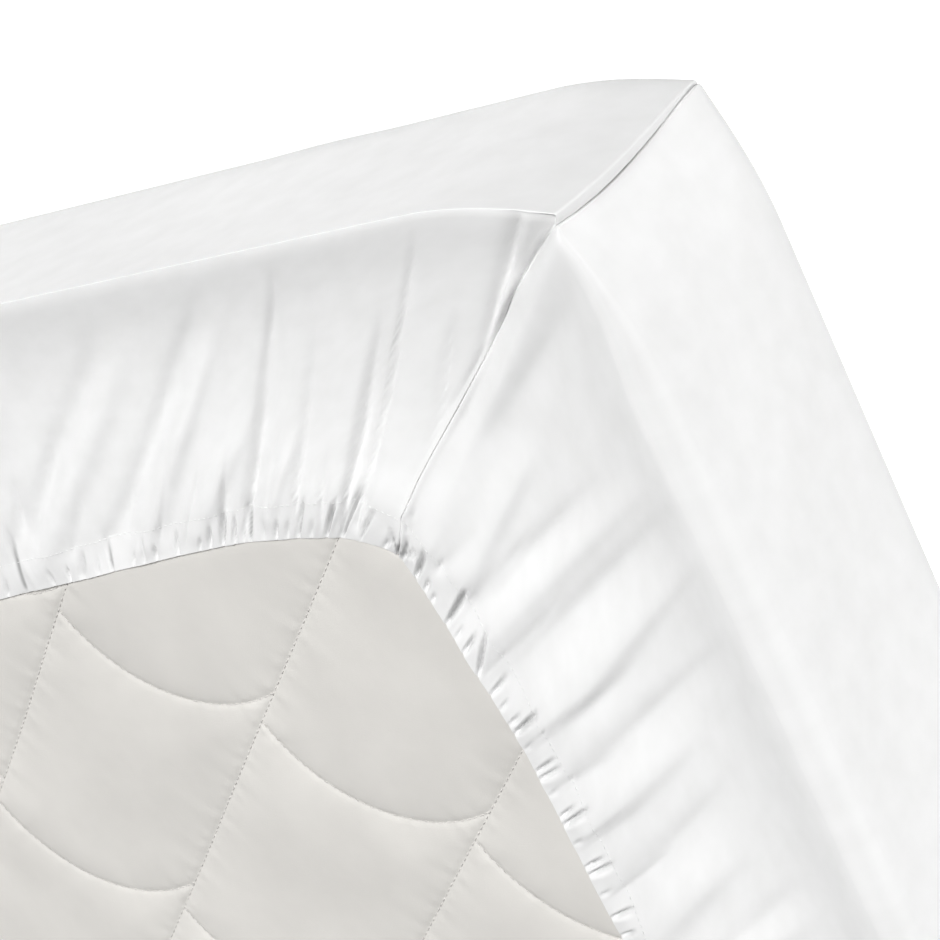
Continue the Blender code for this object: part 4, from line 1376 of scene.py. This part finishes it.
def make_lights(lit):
    """Soft suns that light the object alone, so that its floor stays even."""
    receivers = bpy.data.collections.new("lit_by_suns")
    for piece in lit:
        receivers.objects.link(piece)
    for row in LIGHTS:
        light = bpy.data.lights.new(row.name, "SUN")
        light.energy = row.strength
        light.angle = row.width
        thing = bpy.data.objects.new(row.name, light)
        thing.rotation_mode = "QUATERNION"
        thing.rotation_quaternion = Vector(row.towards).to_track_quat("Z", "Y")
        thing.location = Vector(row.towards) * LIGHT_DISTANCE
        thing.light_linking.receiver_collection = receivers
        thing.light_linking.blocker_collection = receivers
        bpy.context.scene.collection.objects.link(thing)


def make_world():
    """A white world that is brighter below the floor's level than above it."""
    world = bpy.data.worlds.new("studio")
    world.use_nodes = True
    tree = world.node_tree
    background = with_inputs(tree.nodes["Background"], {"Color": WHITE})
    place = tree.nodes.new("ShaderNodeTexCoord")
    split = tree.nodes.new("ShaderNodeSeparateXYZ")
    strength = node(
        tree, "ShaderNodeMapRange", From_Min=-HORIZON_BLEND, From_Max=HORIZON_BLEND,
        To_Min=GROUND_STRENGTH, To_Max=SKY_STRENGTH)
    link(tree, place, "Generated", split, "Vector")
    link(tree, split, "Z", strength, "Value")
    link(tree, strength, "Result", background, "Strength")
    bpy.context.scene.world = world
    bpy.context.scene.view_settings.view_transform = "Standard"
    bpy.context.scene.view_settings.gamma = VIEW_GAMMA


def make_camera():
    """Looks down at the measured corner, turned so that the short side is at the top."""
    a, e, roll = CAMERA_AZIMUTH, CAMERA_ELEVATION, CAMERA_ROLL
    back = Vector((math.sin(a) * math.cos(e), -math.cos(a) * math.cos(e), math.sin(e)))
    level = Vector((math.cos(a), math.sin(a), 0.0))
    upright = back.cross(level)
    right = level * math.cos(roll) + upright * math.sin(roll)
    up = upright * math.cos(roll) - level * math.sin(roll)
    focus = Vector(CAMERA_FOCUS) - Vector((HALF_X, HALF_Y, 0.0))
    data = bpy.data.cameras.new("camera")
    data.lens = CAMERA_LENS
    data.sensor_width = SENSOR
    camera = bpy.data.objects.new("camera", data)
    turned = Matrix((right, up, back)).transposed().to_4x4()
    camera.matrix_world = Matrix.Translation(focus + back * CAMERA_DISTANCE) @ turned
    bpy.context.scene.collection.objects.link(camera)
    bpy.context.scene.camera = camera


def main():
    make_camera()
    make_floor()

    cloth, sheet = make_sheet(cotton_material())
    hem_sewing = make_hem_stitches(sheet, thread_material("white_thread", HEM_THREAD_TONES))
    mattress = make_mattress(sheet.columns, ticking_material())
    quilt_sewing = make_quilt_stitches(sheet, thread_material("grey_thread", QUILT_THREAD_TONES))

    pieces = (cloth, hem_sewing, mattress, quilt_sewing)
    make_lights(pieces)
    make_world()
    for piece in pieces:
        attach(piece, "root")
    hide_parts("fitted_sheet")
    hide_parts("mattress")


main()
